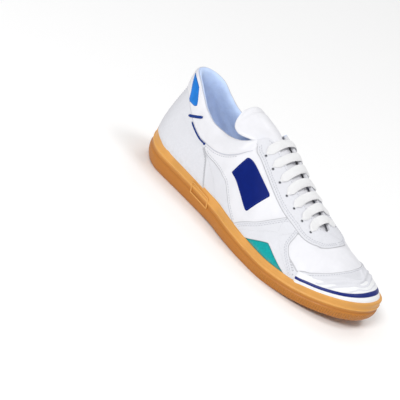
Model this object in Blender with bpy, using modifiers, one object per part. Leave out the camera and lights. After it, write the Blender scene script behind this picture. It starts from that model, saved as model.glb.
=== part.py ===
"""Right indoor soccer shoe, standing empty on its sole. Metres; +X toe, +Y inner side, +Z up."""

import math

import bpy
import bmesh
import numpy as np

MM = 0.001

# Driving sizes
LENGTH = 0.292
BALL_WIDTH = 0.108
HEEL_HEIGHT = 0.102
INSTEP_HEIGHT = 0.098
RIM_HEIGHT = 0.027

# Walls, clearances and rounding
UPPER_WALL = 2.0 * MM
RIM_WALL = 2.8 * MM
FIT_GAP = 0.3 * MM
OVERLAY_WALL = 1.2 * MM
OVERLAY_GAP = 0.5 * MM
OVERLAY_SPACE = 1.7 * MM
HEEL_ROUND = 36 * MM
TOE_ROUND = 80 * MM
HEEL_POWER = 2.1
TOE_POWER = 2.25
HEEL_POLE = 37 * MM
TOE_POLE_INSET = 42 * MM

# Outline of the sole from above, shares of LENGTH and BALL_WIDTH
OUTLINE_COLUMNS = ("share", "middle", "half", "spine")
OUTLINE = (
    (0.0, 0.010, 0.310, 0.010),
    (0.1, 0.008, 0.325, 0.006),
    (0.2, 0.000, 0.336, 0.000),
    (0.3, -0.019, 0.338, -0.008),
    (0.4, -0.042, 0.352, -0.014),
    (0.5, -0.060, 0.396, -0.016),
    (0.6, -0.044, 0.446, -0.008),
    (0.7, -0.014, 0.486, 0.004),
    (0.8, 0.016, 0.479, 0.016),
    (0.9, 0.034, 0.458, 0.030),
    (1.0, 0.046, 0.440, 0.040),
)

# Heights along the sole, shares of LENGTH and RIM_HEIGHT
SOLE_COLUMNS = ("share", "bottom", "floor", "rim", "tuck")
SOLE = (
    (0.00, 0.150, 0.700, 1.260, 0.240),
    (0.06, 0.044, 0.685, 1.155, 0.200),
    (0.12, 0.000, 0.667, 1.074, 0.170),
    (0.30, 0.000, 0.630, 1.000, 0.140),
    (0.42, 0.044, 0.574, 0.937, 0.120),
    (0.52, 0.022, 0.500, 0.852, 0.110),
    (0.58, 0.000, 0.463, 0.793, 0.100),
    (0.70, 0.000, 0.426, 0.741, 0.090),
    (0.78, 0.067, 0.444, 0.763, 0.090),
    (0.86, 0.167, 0.519, 0.870, 0.090),
    (0.93, 0.296, 0.630, 1.020, 0.100),
    (1.00, 0.444, 0.778, 1.185, 0.110),
)

# Top line: radius from the spine in shares of BALL_WIDTH, height of each side in shares of HEEL_HEIGHT
COLLAR_COLUMNS = ("share", "radius", "outer", "inner")
COLLAR = (
    (0.00, 0.268, 1.000, 1.000),
    (0.05, 0.272, 0.965, 0.965),
    (0.10, 0.276, 0.900, 0.892),
    (0.16, 0.284, 0.824, 0.828),
    (0.22, 0.284, 0.775, 0.790),
    (0.28, 0.275, 0.765, 0.785),
    (0.33, 0.256, 0.802, 0.812),
    (0.37, 0.218, 0.876, 0.882),
)

THROAT_END = 0.833

# Throat edge and ridge: the same, with heights in shares of INSTEP_HEIGHT
THROAT_COLUMNS = ("share", "radius", "outer", "inner")
THROAT = (
    (0.40, 0.130, 1.000, 1.010),
    (0.43, 0.100, 0.985, 1.000),
    (0.50, 0.093, 0.905, 0.930),
    (0.60, 0.088, 0.775, 0.810),
    (0.70, 0.083, 0.665, 0.695),
    (0.77, 0.072, 0.600, 0.622),
    (0.81, 0.050, 0.577, 0.588),
    (THROAT_END, 0.000, 0.570, 0.570),
    (0.88, 0.000, 0.550, 0.550),
    (0.94, 0.000, 0.522, 0.522),
    (1.00, 0.000, 0.480, 0.480),
)

# Wall shape: bulge past the outline, reach inwards or out below the top line and drop, shares of BALL_WIDTH
WALL_COLUMNS = ("share", "bulge", "reach", "drop")
WALL = (
    (0.00, 0.030, -0.037, 0.240),
    (0.10, 0.030, 0.000, 0.210),
    (0.20, 0.030, 0.020, 0.165),
    (0.30, 0.030, 0.040, 0.140),
    (0.37, 0.030, 0.090, 0.120),
    (0.43, 0.022, 0.135, 0.080),
    (0.50, 0.018, 0.155, 0.075),
    (0.60, 0.016, 0.185, 0.065),
    (0.70, 0.016, 0.205, 0.045),
    (0.80, 0.018, 0.220, 0.015),
    (0.86, 0.020, 0.225, 0.000),
    (1.00, 0.022, 0.230, 0.000),
)
KNEE_SHARE = 0.45

# Sole side wall, from the ground up: share of its height, share of the tuck under it, step in or out
SIDE_COLUMNS = ("height", "tuck", "step")
SIDE = (
    (0.00, 1.00, 0.0 * MM),
    (0.10, 0.45, 0.0 * MM),
    (0.42, 0.00, 0.0 * MM),
    (0.46, 0.00, -0.9 * MM),
    (0.60, 0.00, -0.9 * MM),
    (0.63, 0.00, -0.1 * MM),
    (0.68, 0.00, -0.1 * MM),
    (0.71, 0.00, -0.8 * MM),
    (1.00, 0.00, -0.6 * MM),
)
GROUND_BAND = 8 * MM
LUG_DEPTH = 2.0 * MM
LUG_BITE = 0.8 * MM
LUG_WALL = 2.4 * MM
LUG_THIN_WALL = 1.9 * MM
LUG_SIDES = 8
LUG_MARGIN = 1.0 * MM

# Tread: the turning ring under the ball of the foot and its match under the heel, arcs of ring lugs, waist bars
BALL_CENTRE = (0.645, 0.085)
HEEL_CENTRE = (0.190, 0.005)
TURN_RADII = (17 * MM, 10.5 * MM)
TURN_BUTTON = 5 * MM
ARC_COLUMNS = ("radius", "lug", "count")
ARCS = (
    (25.0 * MM, 6.2 * MM, 9),
    (40.5 * MM, 8.0 * MM, 12),
    (57.5 * MM, 9.5 * MM, 15),
)
WAIST_SHARES = (0.325, 0.362, 0.399, 0.436, 0.473)
WAIST_BAR = (13 * MM, 4.5 * MM)
WAIST_MIDDLE = (8 * MM, 46 * MM)

# Counts of sections
HEEL_STATIONS = 6
MIDDLE_STATIONS = 17
TOE_STATIONS = 8
WALL_ROWS = 7
FLOOR_ROW = 0.5

# Overlays
EYESTAY_ARM_COLUMNS = 15
EYESTAY_FRONT_COLUMNS = 6
STRIP_HEIGHT = 8.5 * MM
TOE_BACK = 0.803
CUFF_TOP = 3.3 * MM
CUFF_DEPTH = 17 * MM
CUFF_OUTER = 2.6 * MM
CUFF_INNER = 3.4 * MM
CUFF_EDGE = 0.8 * MM
CUFF_TAPER = 3.0
CUFF_FRONT = 0.372
CUFF_FADE = 0.03
CUFF_GAP = 0.6 * MM
PATCH_PITCH = 7.5 * MM
PATCH_TIP = 1.5 * MM

# Edges of the overlays on the upper: share of LENGTH and t up the rib, at the low edge and at the high edge.
# A t of 0 is the sole's rim.
EDGE_COLUMNS = ("low_share", "low_t", "high_share", "high_t")
QUARTER = (
    (0.264, 0.500, 0.265, 0.514),
    (0.278, 0.470, 0.280, 0.498),
    (0.300, 0.380, 0.302, 0.475),
    (0.322, 0.245, 0.324, 0.458),
    (0.341, 0.000, 0.346, 0.410),
    (0.370, 0.000, 0.372, 0.345),
    (0.400, 0.000, 0.402, 0.262),
    (0.450, 0.000, 0.450, 0.165),
    (0.495, 0.000, 0.496, 0.115),
)
SADDLE = (
    (0.512, 0.000, 0.514, 0.115),
    (0.560, 0.000, 0.584, 0.330),
    (0.655, 0.295, 0.652, 0.600),
    (0.692, 0.282, 0.716, 0.590),
    (0.775, 0.000, 0.727, 0.475),
    (0.797, 0.000, 0.792, 0.200),
)
WINDOW = (
    (0.582, 0.000, 0.590, 0.115),
    (0.610, 0.000, 0.655, 0.262),
    (0.700, 0.000, 0.684, 0.252),
    (0.750, 0.000, 0.746, 0.110),
)
SIDE_PATCH = (
    (0.390, 0.400, 0.405, 0.610),
    (0.525, 0.290, 0.560, 0.610),
)
COUNTER_COLUMNS = ("t", "share")
COUNTER = (
    (0.000, 0.334),
    (0.130, 0.327),
    (0.300, 0.304),
    (0.444, 0.279),
    (0.550, 0.243),
)
COUNTER_BACK_T = 0.600
HEEL_PATCH_FRONT = 0.075
EYESTAY_COLUMNS = ("share", "t")
EYESTAY = (
    (0.405, 0.720),
    (0.478, 0.688),
    (0.589, 0.663),
    (0.682, 0.644),
    (0.726, 0.642),
)
EYESTAY_FRONT = 0.908
RIDGE_T = 0.965

# Front edges of the eyestay and the toe guard from above: where the curve starts and how far it runs, shares of
# LENGTH, its half width and its middle, shares of BALL_WIDTH, and the powers of its two terms
EYESTAY_NOSE = (0.685, 0.108, 0.287, 0.014, 2.3, 2.3)
GUARD_NOSE = (0.784, 0.094, 0.413, 0.000, 1.0, 2.6)
GUARD_LEAST_T = 0.02

# Insole, tongue and laces
INSOLE_WALL = 3.0 * MM
INSOLE_GAP = 1.2 * MM
TONGUE_GAP = 1.4 * MM
TONGUE_COLUMNS = ("along", "lift", "half", "wall")
TONGUE = (
    (0.00, 0.0 * MM, 10 * MM, 2.5 * MM),
    (0.10, 0.0 * MM, 16 * MM, 3.0 * MM),
    (0.35, 0.0 * MM, 21 * MM, 3.5 * MM),
    (0.60, 0.0 * MM, 22 * MM, 4.0 * MM),
    (0.70, 0.0 * MM, 19 * MM, 4.5 * MM),
    (0.77, 0.0 * MM, 18 * MM, 5.0 * MM),
    (0.84, 2.0 * MM, 21 * MM, 7.0 * MM),
    (0.92, 3.0 * MM, 25 * MM, 8.0 * MM),
    (0.98, 3.5 * MM, 22 * MM, 6.5 * MM),
    (1.00, 3.5 * MM, 16 * MM, 3.5 * MM),
)
TONGUE_FRONT = 0.795
TONGUE_BACK = 0.400
TONGUE_FREE = 38 * MM
TONGUE_FREE_RISE = 15 * MM
TONGUE_SECTIONS = 19
TONGUE_ROUND = 20 * MM
BAR_COUNT = 7
BAR_FIRST = 0.446
BAR_LAST = 0.765
BAR_WIDTH = 9 * MM
BAR_WALL = 1.3 * MM
BAR_REACH = 22 * MM
BAR_EDGE = 9 * MM
BAR_ARCH = 2.2 * MM
BAR_ARCH_SHARES = (0.25, 0.5, 0.75)
LINK_WIDTH = 4 * MM
LINK_WALL = 0.9 * MM
LINK_BITE = 0.12

# Colours, linear
GUM = (0.55, 0.27, 0.07, 1)
WHITE = (0.85, 0.85, 0.86, 1)
SUEDE = (0.72, 0.73, 0.76, 1)
LINING = (0.25, 0.32, 0.52, 1)
NAVY = (0.004, 0.012, 0.19, 1)
BLUE = (0.0, 0.19, 0.66, 1)
TEAL = (0.0, 0.36, 0.35, 1)


# Tables and curves

def column(table, names, name, at):
    """A table's column at the given shares, smooth and with no overshoot between its rows."""
    x = np.array([row[0] for row in table])
    y = np.array([row[names.index(name)] for row in table])
    width = np.diff(x)
    slope = np.diff(y) / width
    left, right = slope[:-1], slope[1:]
    inner = np.where(left * right > 0, 2 * left * right / np.where(left + right == 0, 1, left + right), 0)
    tangent = np.concatenate([slope[:1], inner, slope[-1:]])
    at = np.clip(at, x[0], x[-1])
    i = np.clip(np.searchsorted(x, at, side="right") - 1, 0, len(x) - 2)
    s = (at - x[i]) / width[i]
    low = y[i] * (1 + 2 * s) + width[i] * tangent[i] * s
    high = y[i + 1] * (3 - 2 * s) - width[i] * tangent[i + 1] * (1 - s)
    return low * (1 - s) ** 2 + high * s ** 2


def outline_value(name, share):
    return column(OUTLINE, OUTLINE_COLUMNS, name, share) * BALL_WIDTH


def sole_height(name, x):
    return column(SOLE, SOLE_COLUMNS, name, x / LENGTH) * RIM_HEIGHT


def wall_value(name, share):
    return column(WALL, WALL_COLUMNS, name, share) * BALL_WIDTH


def top_tables(side):
    """The whole top line of one side as (share, radius, height) rows in metres."""
    name = "outer" if side < 0 else "inner"
    collar = [(row[0], row[1] * BALL_WIDTH, row[COLLAR_COLUMNS.index(name)] * HEEL_HEIGHT) for row in COLLAR]
    throat = [(row[0], row[1] * BALL_WIDTH, row[THROAT_COLUMNS.index(name)] * INSTEP_HEIGHT) for row in THROAT]
    return collar + throat


TOP_COLUMNS = ("share", "radius", "height")
TOPS = {side: top_tables(side) for side in (-1, 1)}


def top_value(side, name, share):
    return np.where(
        side < 0,
        column(TOPS[-1], TOP_COLUMNS, name, share),
        column(TOPS[1], TOP_COLUMNS, name, share),
    )


PER_SIDE = HEEL_STATIONS + MIDDLE_STATIONS + TOE_STATIONS
RING = 2 * PER_SIDE


def share_at(step):
    """Share of the length at a station number from 0 at the heel to PER_SIDE at the toe."""
    heel = HEEL_ROUND * (1 - np.cos(math.pi / 2 * np.clip(step / HEEL_STATIONS, 0, 1)))
    run = np.clip((step - HEEL_STATIONS) / MIDDLE_STATIONS, 0, 1) * (LENGTH - HEEL_ROUND - TOE_ROUND)
    toe = TOE_ROUND * np.sin(math.pi / 2 * np.clip((step - HEEL_STATIONS - MIDDLE_STATIONS) / TOE_STATIONS, 0, 1))
    return (heel + run + toe) / LENGTH


def station_of(share):
    """The station number at a share of the length."""
    steps = np.linspace(0, PER_SIDE, 2401)
    return np.interp(share, share_at(steps), steps)


def end_round(share):
    """How much of the half width is left near the rounded heel and toe."""
    x = share * LENGTH
    heel = np.clip(1 - x / HEEL_ROUND, 0, 1)
    toe = np.clip((x - LENGTH + TOE_ROUND) / TOE_ROUND, 0, 1)
    return (1 - heel ** HEEL_POWER) ** (1 / HEEL_POWER) * (1 - toe ** TOE_POWER) ** (1 / TOE_POWER)


def ribs(step):
    """What each rib of the last needs, at ring numbers step: 0 heel, PER_SIDE toe, RING heel again."""
    step = np.mod(np.asarray(step, float), RING)
    side = np.where(step <= PER_SIDE, -1, 1)
    share = share_at(np.where(side < 0, step, RING - step))
    along = HEEL_POLE + (LENGTH - TOE_POLE_INSET - HEEL_POLE) * share
    spine = np.stack([along, outline_value("spine", along / LENGTH)], -1)
    half = outline_value("half", share) * end_round(share)
    edge = np.stack([share * LENGTH, outline_value("middle", share) + side * half], -1)
    reach = np.linalg.norm(edge - spine, axis=-1)
    return {
        "side": side,
        "share": share,
        "spine": spine,
        "radius": reach,
        "way": (edge - spine) / reach[..., None],
        "rim": sole_height("rim", share * LENGTH),
        "top_radius": top_value(side, "radius", share),
        "top": top_value(side, "height", share),
    }


def section(rib):
    """The four points (radius, height) that steer one rib's curve."""
    share, way = rib["share"], rib["way"]
    foot_radius = rib["radius"] - RIM_WALL
    foot_place = rib["spine"] + foot_radius[..., None] * way
    foot = sole_height("floor", foot_place[..., 0]) + FIT_GAP
    ahead = np.minimum(share + 0.01, 1.0)
    behind = ahead - 0.02
    fall = (top_value(rib["side"], "height", ahead) - top_value(rib["side"], "height", behind))
    fall = fall / ((ahead - behind) * (LENGTH - TOE_POLE_INSET - HEEL_POLE))
    fall = fall * np.clip((share - 0.40) / 0.06, 0, 1)
    reach = wall_value("reach", share)
    near = rib["top"] - wall_value("drop", share) + fall * reach * way[..., 0]
    return (
        (foot_radius, foot),
        (rib["radius"] + wall_value("bulge", share), foot + KNEE_SHARE * (rib["top"] - foot)),
        (rib["top_radius"] + reach, near),
        (rib["top_radius"], rib["top"]),
    )


def bezier(points, t):
    a, b, c, d = points
    return a * (1 - t) ** 3 + 3 * b * t * (1 - t) ** 2 + 3 * c * t ** 2 * (1 - t) + d * t ** 3


def last_point(step, t):
    """A point of the upper's outer face, t from 0 at the feather edge to 1 at the top line."""
    rib = ribs(step)
    steer = section(rib)
    radius = bezier([p[0] for p in steer], t)
    height = bezier([p[1] for p in steer], t)
    flat = rib["spine"] + radius[..., None] * rib["way"]
    return np.concatenate([flat, height[..., None]], -1)


def last_normal(step, t):
    """The outward normal there."""
    ds, dt = 0.02, 0.004
    along = last_point(step + ds, t) - last_point(step - ds, t)
    up = last_point(step, np.minimum(t + dt, 1)) - last_point(step, np.maximum(t - dt, 0))
    normal = np.cross(along, up)
    return normal / np.linalg.norm(normal, axis=-1, keepdims=True)


def offset_point(step, t, out):
    """The same point moved out along the normal."""
    return last_point(step, t) + last_normal(step, t) * np.asarray(out, float)[..., None]


def t_where(step, reached):
    """Smallest t at which reached(points) turns true, from a fine walk along each rib."""
    walk = np.linspace(0, 1, 401)
    steps = np.asarray(step, float)[..., None] + 0 * walk
    points = last_point(steps, np.broadcast_to(walk, steps.shape))
    hit = reached(points)
    return walk[np.argmax(hit, axis=-1)]


def t_above_rim(step, rise):
    rim = ribs(step)["rim"] + rise
    return t_where(step, lambda p: p[..., 2] >= rim[..., None])


def t_below_top(step, run):
    """The t whose distance along the rib to the top line is run."""
    def near_top(points):
        pieces = np.linalg.norm(np.diff(points, axis=-2), axis=-1)
        left = np.cumsum(pieces[..., ::-1], axis=-1)[..., ::-1]
        left = np.concatenate([left, 0 * left[..., :1]], -1)
        return left <= np.asarray(run, float)[..., None]
    return t_where(step, near_top)


def t_past_nose(step, nose):
    """The t where a rib first lies behind a front edge that is drawn from above."""
    start, run, half, middle, power_x, power_y = nose

    def behind(points):
        x = np.maximum(points[..., 0] - start * LENGTH, 0) / (run * LENGTH)
        y = np.abs(points[..., 1] - middle * BALL_WIDTH) / (half * BALL_WIDTH)
        return x ** power_x + y ** power_y <= 1
    return t_where(step, behind)


def wrap_share(step):
    return ribs(step)["share"]


def upper_end(step):
    """Where the upper's own wall stops: at the top line, or lower under the collar's cuff."""
    share = wrap_share(step)
    run = CUFF_TOP * np.clip((CUFF_FRONT + CUFF_FADE - share) / CUFF_FADE, 0, 1)
    return np.where(run > 0, t_below_top(step, run), 1.0)


# Meshes

def material(name, colour, roughness):
    found = bpy.data.materials.get(name)
    if found:
        return found
    made = bpy.data.materials.new(name)
    made.use_nodes = True
    shader = made.node_tree.nodes["Principled BSDF"]
    shader.inputs["Base Color"].default_value = colour
    shader.inputs["Roughness"].default_value = roughness
    shader.inputs["Metallic"].default_value = 0
    made.diffuse_color = colour
    return made


def sheet(grid, closed=False):
    """A mesh of quads through a grid of points, rows by columns, with equal points made one."""
    rows, columns = grid.shape[:2]
    mesh = bmesh.new()
    made = [[mesh.verts.new(point) for point in row] for row in grid]
    for i in range(rows - 1):
        for j in range(columns if closed else columns - 1):
            k = (j + 1) % columns
            mesh.faces.new((made[i][j], made[i][k], made[i + 1][k], made[i + 1][j]))
    bmesh.ops.remove_doubles(mesh, verts=mesh.verts, dist=0.01 * MM)
    return mesh


def add_object(name, mesh, collection, paint):
    data = bpy.data.meshes.new(name)
    mesh.to_mesh(data)
    mesh.free()
    obj = bpy.data.objects.new(name, data)
    collection.objects.link(obj)
    if paint:
        data.materials.append(paint)
    return obj


def solidify(obj, wall, offset):
    shell = obj.modifiers.new("wall", "SOLIDIFY")
    shell.thickness = wall
    shell.offset = offset
    shell.use_quality_normals = True
    return obj


def closed_loft(sections, capped):
    """A closed solid through closed sections of the same length, in a ring or with two end caps."""
    mesh = bmesh.new()
    made = [[mesh.verts.new(point) for point in points] for points in sections]
    count = len(made[0])
    for i in range(len(made) - 1 if capped else len(made)):
        here, there = made[i], made[(i + 1) % len(made)]
        for j in range(count):
            k = (j + 1) % count
            mesh.faces.new((here[j], here[k], there[k], there[j]))
    if capped:
        mesh.faces.new(made[0][::-1])
        mesh.faces.new(made[-1])
    bmesh.ops.recalc_face_normals(mesh, faces=mesh.faces)
    return mesh


def build_upper(collection):
    """One lasted wall: feather edge in the sole's cup, open at the collar and throat."""
    step = np.arange(RING, dtype=float)
    low = t_above_rim(step, FIT_GAP)
    high = upper_end(step)
    rows = [0 * step] + [low + (high - low) * j / WALL_ROWS for j in range(WALL_ROWS + 1)]
    grid = np.stack([last_point(step, t) for t in rows])
    obj = add_object("upper", sheet(grid, closed=True), collection, material("white leather", WHITE, 0.45))
    return solidify(obj, UPPER_WALL, -1)


def overlay(name, collection, paint, steps, t, out=OVERLAY_GAP, closed=False):
    """A piece of even wall over the upper's face: steps and t give its grid, rows by columns."""
    out = np.broadcast_to(out, t.shape)
    grid = offset_point(np.broadcast_to(steps, t.shape), t, out)
    obj = add_object(name, sheet(grid, closed), collection, paint)
    return solidify(obj, OVERLAY_WALL, 1)


def edged(name, collection, paint, side, edges, rows):
    """An overlay between a low and a high edge on one side, from a table of rulings."""
    table = np.array(edges)
    runs = np.abs(np.diff(table[:, [0, 2]], axis=0)).max(axis=1) * LENGTH
    pieces = np.maximum(2, np.ceil(runs / PATCH_PITCH)).astype(int)
    at = np.concatenate([np.arange(n) / n + i for i, n in enumerate(pieces)] + [[len(pieces)]])
    ends = []
    for share, t, rise in ((table[:, 0], table[:, 1], 0), (table[:, 2], table[:, 3], PATCH_TIP)):
        ring = station_of(share)
        ring = ring if side < 0 else RING - ring
        t = np.maximum(t, t_above_rim(ring, OVERLAY_SPACE + rise))
        ring = np.interp(at, np.arange(len(table)), ring)
        t = np.interp(at, np.arange(len(table)), t)
        ends.append((ring, np.maximum(t, t_above_rim(ring, OVERLAY_SPACE + rise))))
    (low, low_t), (high, high_t) = ends
    across = np.linspace(0, 1, rows + 1)[:, None]
    steps = low + (high - low) * across
    t = low_t + (high_t - low_t) * across
    if side > 0:
        steps, t = steps[:, ::-1], t[:, ::-1]
    return overlay(name, collection, paint, steps, t)


def ring_steps(half, pitch):
    """Even ring numbers on both sides of the heel, or of the toe if moved by PER_SIDE."""
    count = max(4, math.ceil(half / pitch))
    return np.linspace(-half, half, 2 * count + 1)


def build_sole(collection, cutters):
    step = np.arange(RING, dtype=float)
    rib = ribs(step)

    def place(radius, height):
        flat = rib["spine"] + radius[:, None] * rib["way"]
        return flat, height(flat[:, 0])

    def row(radius, height):
        flat, z = place(radius, height)
        return np.concatenate([flat, z[:, None]], -1)

    radius = rib["radius"]
    bottom = lambda x: sole_height("bottom", x)
    recess = lambda x: sole_height("bottom", x) + LUG_DEPTH
    floor = lambda x: sole_height("floor", x)
    foot = bottom(rib["share"] * LENGTH)
    rows = [row(0 * radius, recess)]
    rows.append(row(radius - GROUND_BAND - MM, recess))
    rows += [row(radius - GROUND_BAND, bottom)]
    under = sole_height("tuck", rib["share"] * LENGTH)
    rows.append(row(radius - under, bottom))
    for height, tuck, step_out in SIDE[1:]:
        z = foot + height * (rib["rim"] - foot)
        rows.append(row(radius - under * tuck + step_out, lambda x: z))
    rim_point = last_point(step, t_above_rim(step, 0 * MM))
    inner_radius = np.linalg.norm(rim_point[:, :2] - rib["spine"], axis=-1) + FIT_GAP
    rows.append(row(inner_radius, lambda x: rib["rim"]))
    rows.append(row(radius - RIM_WALL + FIT_GAP, floor))
    rows += [row((radius - RIM_WALL) * k, floor) for k in (FLOOR_ROW, 0.0)]
    mesh = sheet(np.stack(rows), closed=True)
    bmesh.ops.recalc_face_normals(mesh, faces=mesh.faces)
    sole = add_object("outsole", mesh, collection, material("gum rubber", GUM, 0.5))
    add_tread(sole, cutters)


def lug_ring(x, y, outer, inner):
    """A ring lug, or a button if inner is 0, with its foot on the sole's bottom line."""
    sections = []
    for i in range(LUG_SIDES):
        turn = 2 * math.pi * i / LUG_SIDES
        way = np.array([math.cos(turn), math.sin(turn)])
        section = []
        for radius, top in ((inner, 0), (outer, 0), (outer, 1), (inner, 1)):
            px, py = np.array([x, y]) + radius * way
            section.append((px, py, sole_height("bottom", px) + top * (LUG_DEPTH + LUG_BITE)))
        sections.append(section)
    if inner > 0:
        return closed_loft(sections, capped=False)
    ends = [[section[k] for section in sections] for k in (1, 2)]
    return closed_loft(ends, capped=True)


def lug_bar(x, y, across, along):
    """A straight bar across or along the waist."""
    ends = []
    for sx in (-0.5, 0.5):
        px = x + sx * along
        low = float(sole_height("bottom", px))
        high = low + LUG_DEPTH + LUG_BITE
        left, right = y - across / 2, y + across / 2
        ends.append([(px, left, low), (px, right, low), (px, right, high), (px, left, high)])
    return closed_loft(ends, capped=True)


def sole_sides(x):
    """The y of the ground band's inner edge on both sides at x, from above."""
    share = x / LENGTH
    half = outline_value("half", share) * end_round(share) - GROUND_BAND - LUG_MARGIN
    middle = outline_value("middle", share)
    return middle - half, middle + half


def fits(x, y, radius):
    """True where a round lug stays inside the ground band."""
    reach = radius + LUG_MARGIN
    around = np.linspace(0, 2 * math.pi, 24)
    px, py = x + reach * np.cos(around), y + reach * np.sin(around)
    if px.min() < GROUND_BAND or px.max() > LENGTH - GROUND_BAND:
        return False
    low, high = sole_sides(px)
    return bool(((py > low) & (py < high)).all())


def tread_lugs():
    """Every lug as its own closed mesh."""
    lugs = []
    centres = [(share * LENGTH, wide * BALL_WIDTH) for share, wide in (BALL_CENTRE, HEEL_CENTRE)]
    for x, y in centres:
        lugs += [lug_ring(x, y, radius, radius - LUG_WALL) for radius in TURN_RADII]
        lugs.append(lug_ring(x, y, TURN_BUTTON, 0))
    x, y = centres[0]
    for radius, size, count in ARCS:
        for i in range(count):
            turn = 2 * math.pi * (i + 0.5) / count
            px, py = x + radius * math.cos(turn), y + radius * math.sin(turn)
            if fits(px, py, size) and px > WAIST_SHARES[-1] * LENGTH + size + WAIST_BAR[1]:
                lugs.append(lug_ring(px, py, size, size - LUG_THIN_WALL))
    x, y = centres[1]
    radius, size, count = ARCS[0]
    for i in range(count):
        turn = 2 * math.pi * (i + 0.5) / count
        px, py = x + radius * math.cos(turn), y + radius * math.sin(turn)
        if fits(px, py, size) and px < WAIST_SHARES[0] * LENGTH - size - WAIST_BAR[1]:
            lugs.append(lug_ring(px, py, size, size - LUG_THIN_WALL))
    for share in WAIST_SHARES:
        low, high = sole_sides(share * LENGTH)
        for middle in (low + WAIST_BAR[0] / 2, high - WAIST_BAR[0] / 2):
            lugs.append(lug_bar(share * LENGTH, middle, *WAIST_BAR))
    low, high = sole_sides(WAIST_SHARES[2] * LENGTH)
    lugs.append(lug_bar(WAIST_SHARES[2] * LENGTH, (low + high) / 2, *WAIST_MIDDLE))
    return lugs


def add_tread(sole, cutters):
    joined = bmesh.new()
    for lug in tread_lugs():
        data = bpy.data.meshes.new("lug")
        lug.to_mesh(data)
        lug.free()
        joined.from_mesh(data)
        bpy.data.meshes.remove(data)
    tread = add_object("tread", joined, cutters, None)
    tread.hide_render = True
    tread.display_type = "WIRE"
    join = sole.modifiers.new("tread", "BOOLEAN")
    join.operation = "UNION"
    join.solver = "EXACT"
    join.object = tread


def build_insole(collection):
    step = np.arange(RING, dtype=float)
    rib = ribs(step)
    reach = rib["radius"] - RIM_WALL - UPPER_WALL - INSOLE_GAP

    def row(share, rise):
        radius = reach if share == 1 else (rib["radius"] - RIM_WALL) * share
        flat = rib["spine"] + radius[:, None] * rib["way"]
        z = sole_height("floor", flat[:, 0]) + rise
        return np.concatenate([flat, z[:, None]], -1)

    low, high = FIT_GAP, FIT_GAP + INSOLE_WALL
    rows = [row(0, low), row(FLOOR_ROW, low), row(1, low), row(1, high), row(FLOOR_ROW, high), row(0, high)]
    mesh = sheet(np.stack(rows), closed=True)
    bmesh.ops.recalc_face_normals(mesh, faces=mesh.faces)
    return add_object("insole", mesh, collection, material("lining cloth", LINING, 0.9))


def build_cuff(collection):
    """Padded roll over the upper's top edge, from one side of the instep round the heel to the other."""
    front = math.floor(station_of(CUFF_FRONT))
    steps = np.arange(-front, front + 1, dtype=float)
    end = t_below_top(steps, 0.4 * MM)
    stop = upper_end(steps)
    foot = t_below_top(steps, CUFF_DEPTH + CUFF_TOP)
    inner = -UPPER_WALL - CUFF_GAP
    pad = CUFF_EDGE + (CUFF_INNER - CUFF_EDGE) * np.clip((front - np.abs(steps)) / CUFF_TAPER, 0, 1)

    def at(share, out, lift=0):
        """A row of the section: share runs from the cuff's foot to the top of the upper's wall."""
        t = foot + (stop - foot) * share
        return offset_point(steps, t, out + 0 * steps) + np.array([0, 0, lift])

    def over(share, out):
        return offset_point(steps, stop + (end - stop) * share, out + 0 * steps)

    legs = (0, 1 / 3, 2 / 3)
    rise = 2 * FIT_GAP
    outside = [at(0, CUFF_GAP + OVERLAY_WALL / 2), at(0.5, CUFF_OUTER), at(1, CUFF_OUTER), over(0.5, 0.6 * CUFF_OUTER)]
    inside = [over(1, -0.2 * MM), over(1, inner - pad / 3), at(1, inner - pad), at(0.5, inner - pad)]
    inside.append(at(0, inner - CUFF_EDGE))
    channel = [at(share, inner) for share in legs] + [at(1, inner, rise), at(1, CUFF_GAP, rise)]
    channel += [at(share, CUFF_GAP) for share in legs[::-1]]
    sections = np.stack(outside + inside + channel, 1)
    mesh = closed_loft(sections, capped=True)
    return add_object("collar_cuff", mesh, collection, material("white leather", WHITE, 0.45))


def build_eyestay(collection):
    """U-shaped facing: its two arms run beside the throat and join over the ridge in front of it."""
    arm = np.linspace(EYESTAY[0][0], THROAT_END, EYESTAY_ARM_COLUMNS)
    front = np.linspace(THROAT_END, EYESTAY_FRONT, EYESTAY_FRONT_COLUMNS)
    shares = np.concatenate([arm, front[1:]])
    arm_t = column(EYESTAY, EYESTAY_COLUMNS, "t", shares)
    steps = station_of(shares)
    across = np.linspace(0, 1, 4)[:, None]
    mesh = bmesh.new()
    sides = []
    for ring in (steps, RING - steps):
        low = np.minimum(np.maximum(arm_t, t_past_nose(ring, EYESTAY_NOSE)), RIDGE_T)
        t = low + (1 - low) * across
        sides.append(offset_point(np.broadcast_to(ring, t.shape), t, np.full(t.shape, FIT_GAP)))
    on_ridge = shares >= THROAT_END
    middle = (sides[0][-1] + sides[1][-1]) / 2
    for grid in sides:
        grid[-1][on_ridge] = middle[on_ridge]
    for grid in (sides[0], sides[1][:, ::-1]):
        made = [[mesh.verts.new(point) for point in row] for row in grid]
        for below, above in zip(made, made[1:]):
            for j in range(len(below) - 1):
                mesh.faces.new((below[j], below[j + 1], above[j + 1], above[j]))
    bmesh.ops.remove_doubles(mesh, verts=mesh.verts, dist=0.01 * MM)
    obj = add_object("eyestay", mesh, collection, material("pale suede", SUEDE, 0.9))
    return solidify(obj, OVERLAY_WALL, 1)


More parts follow.
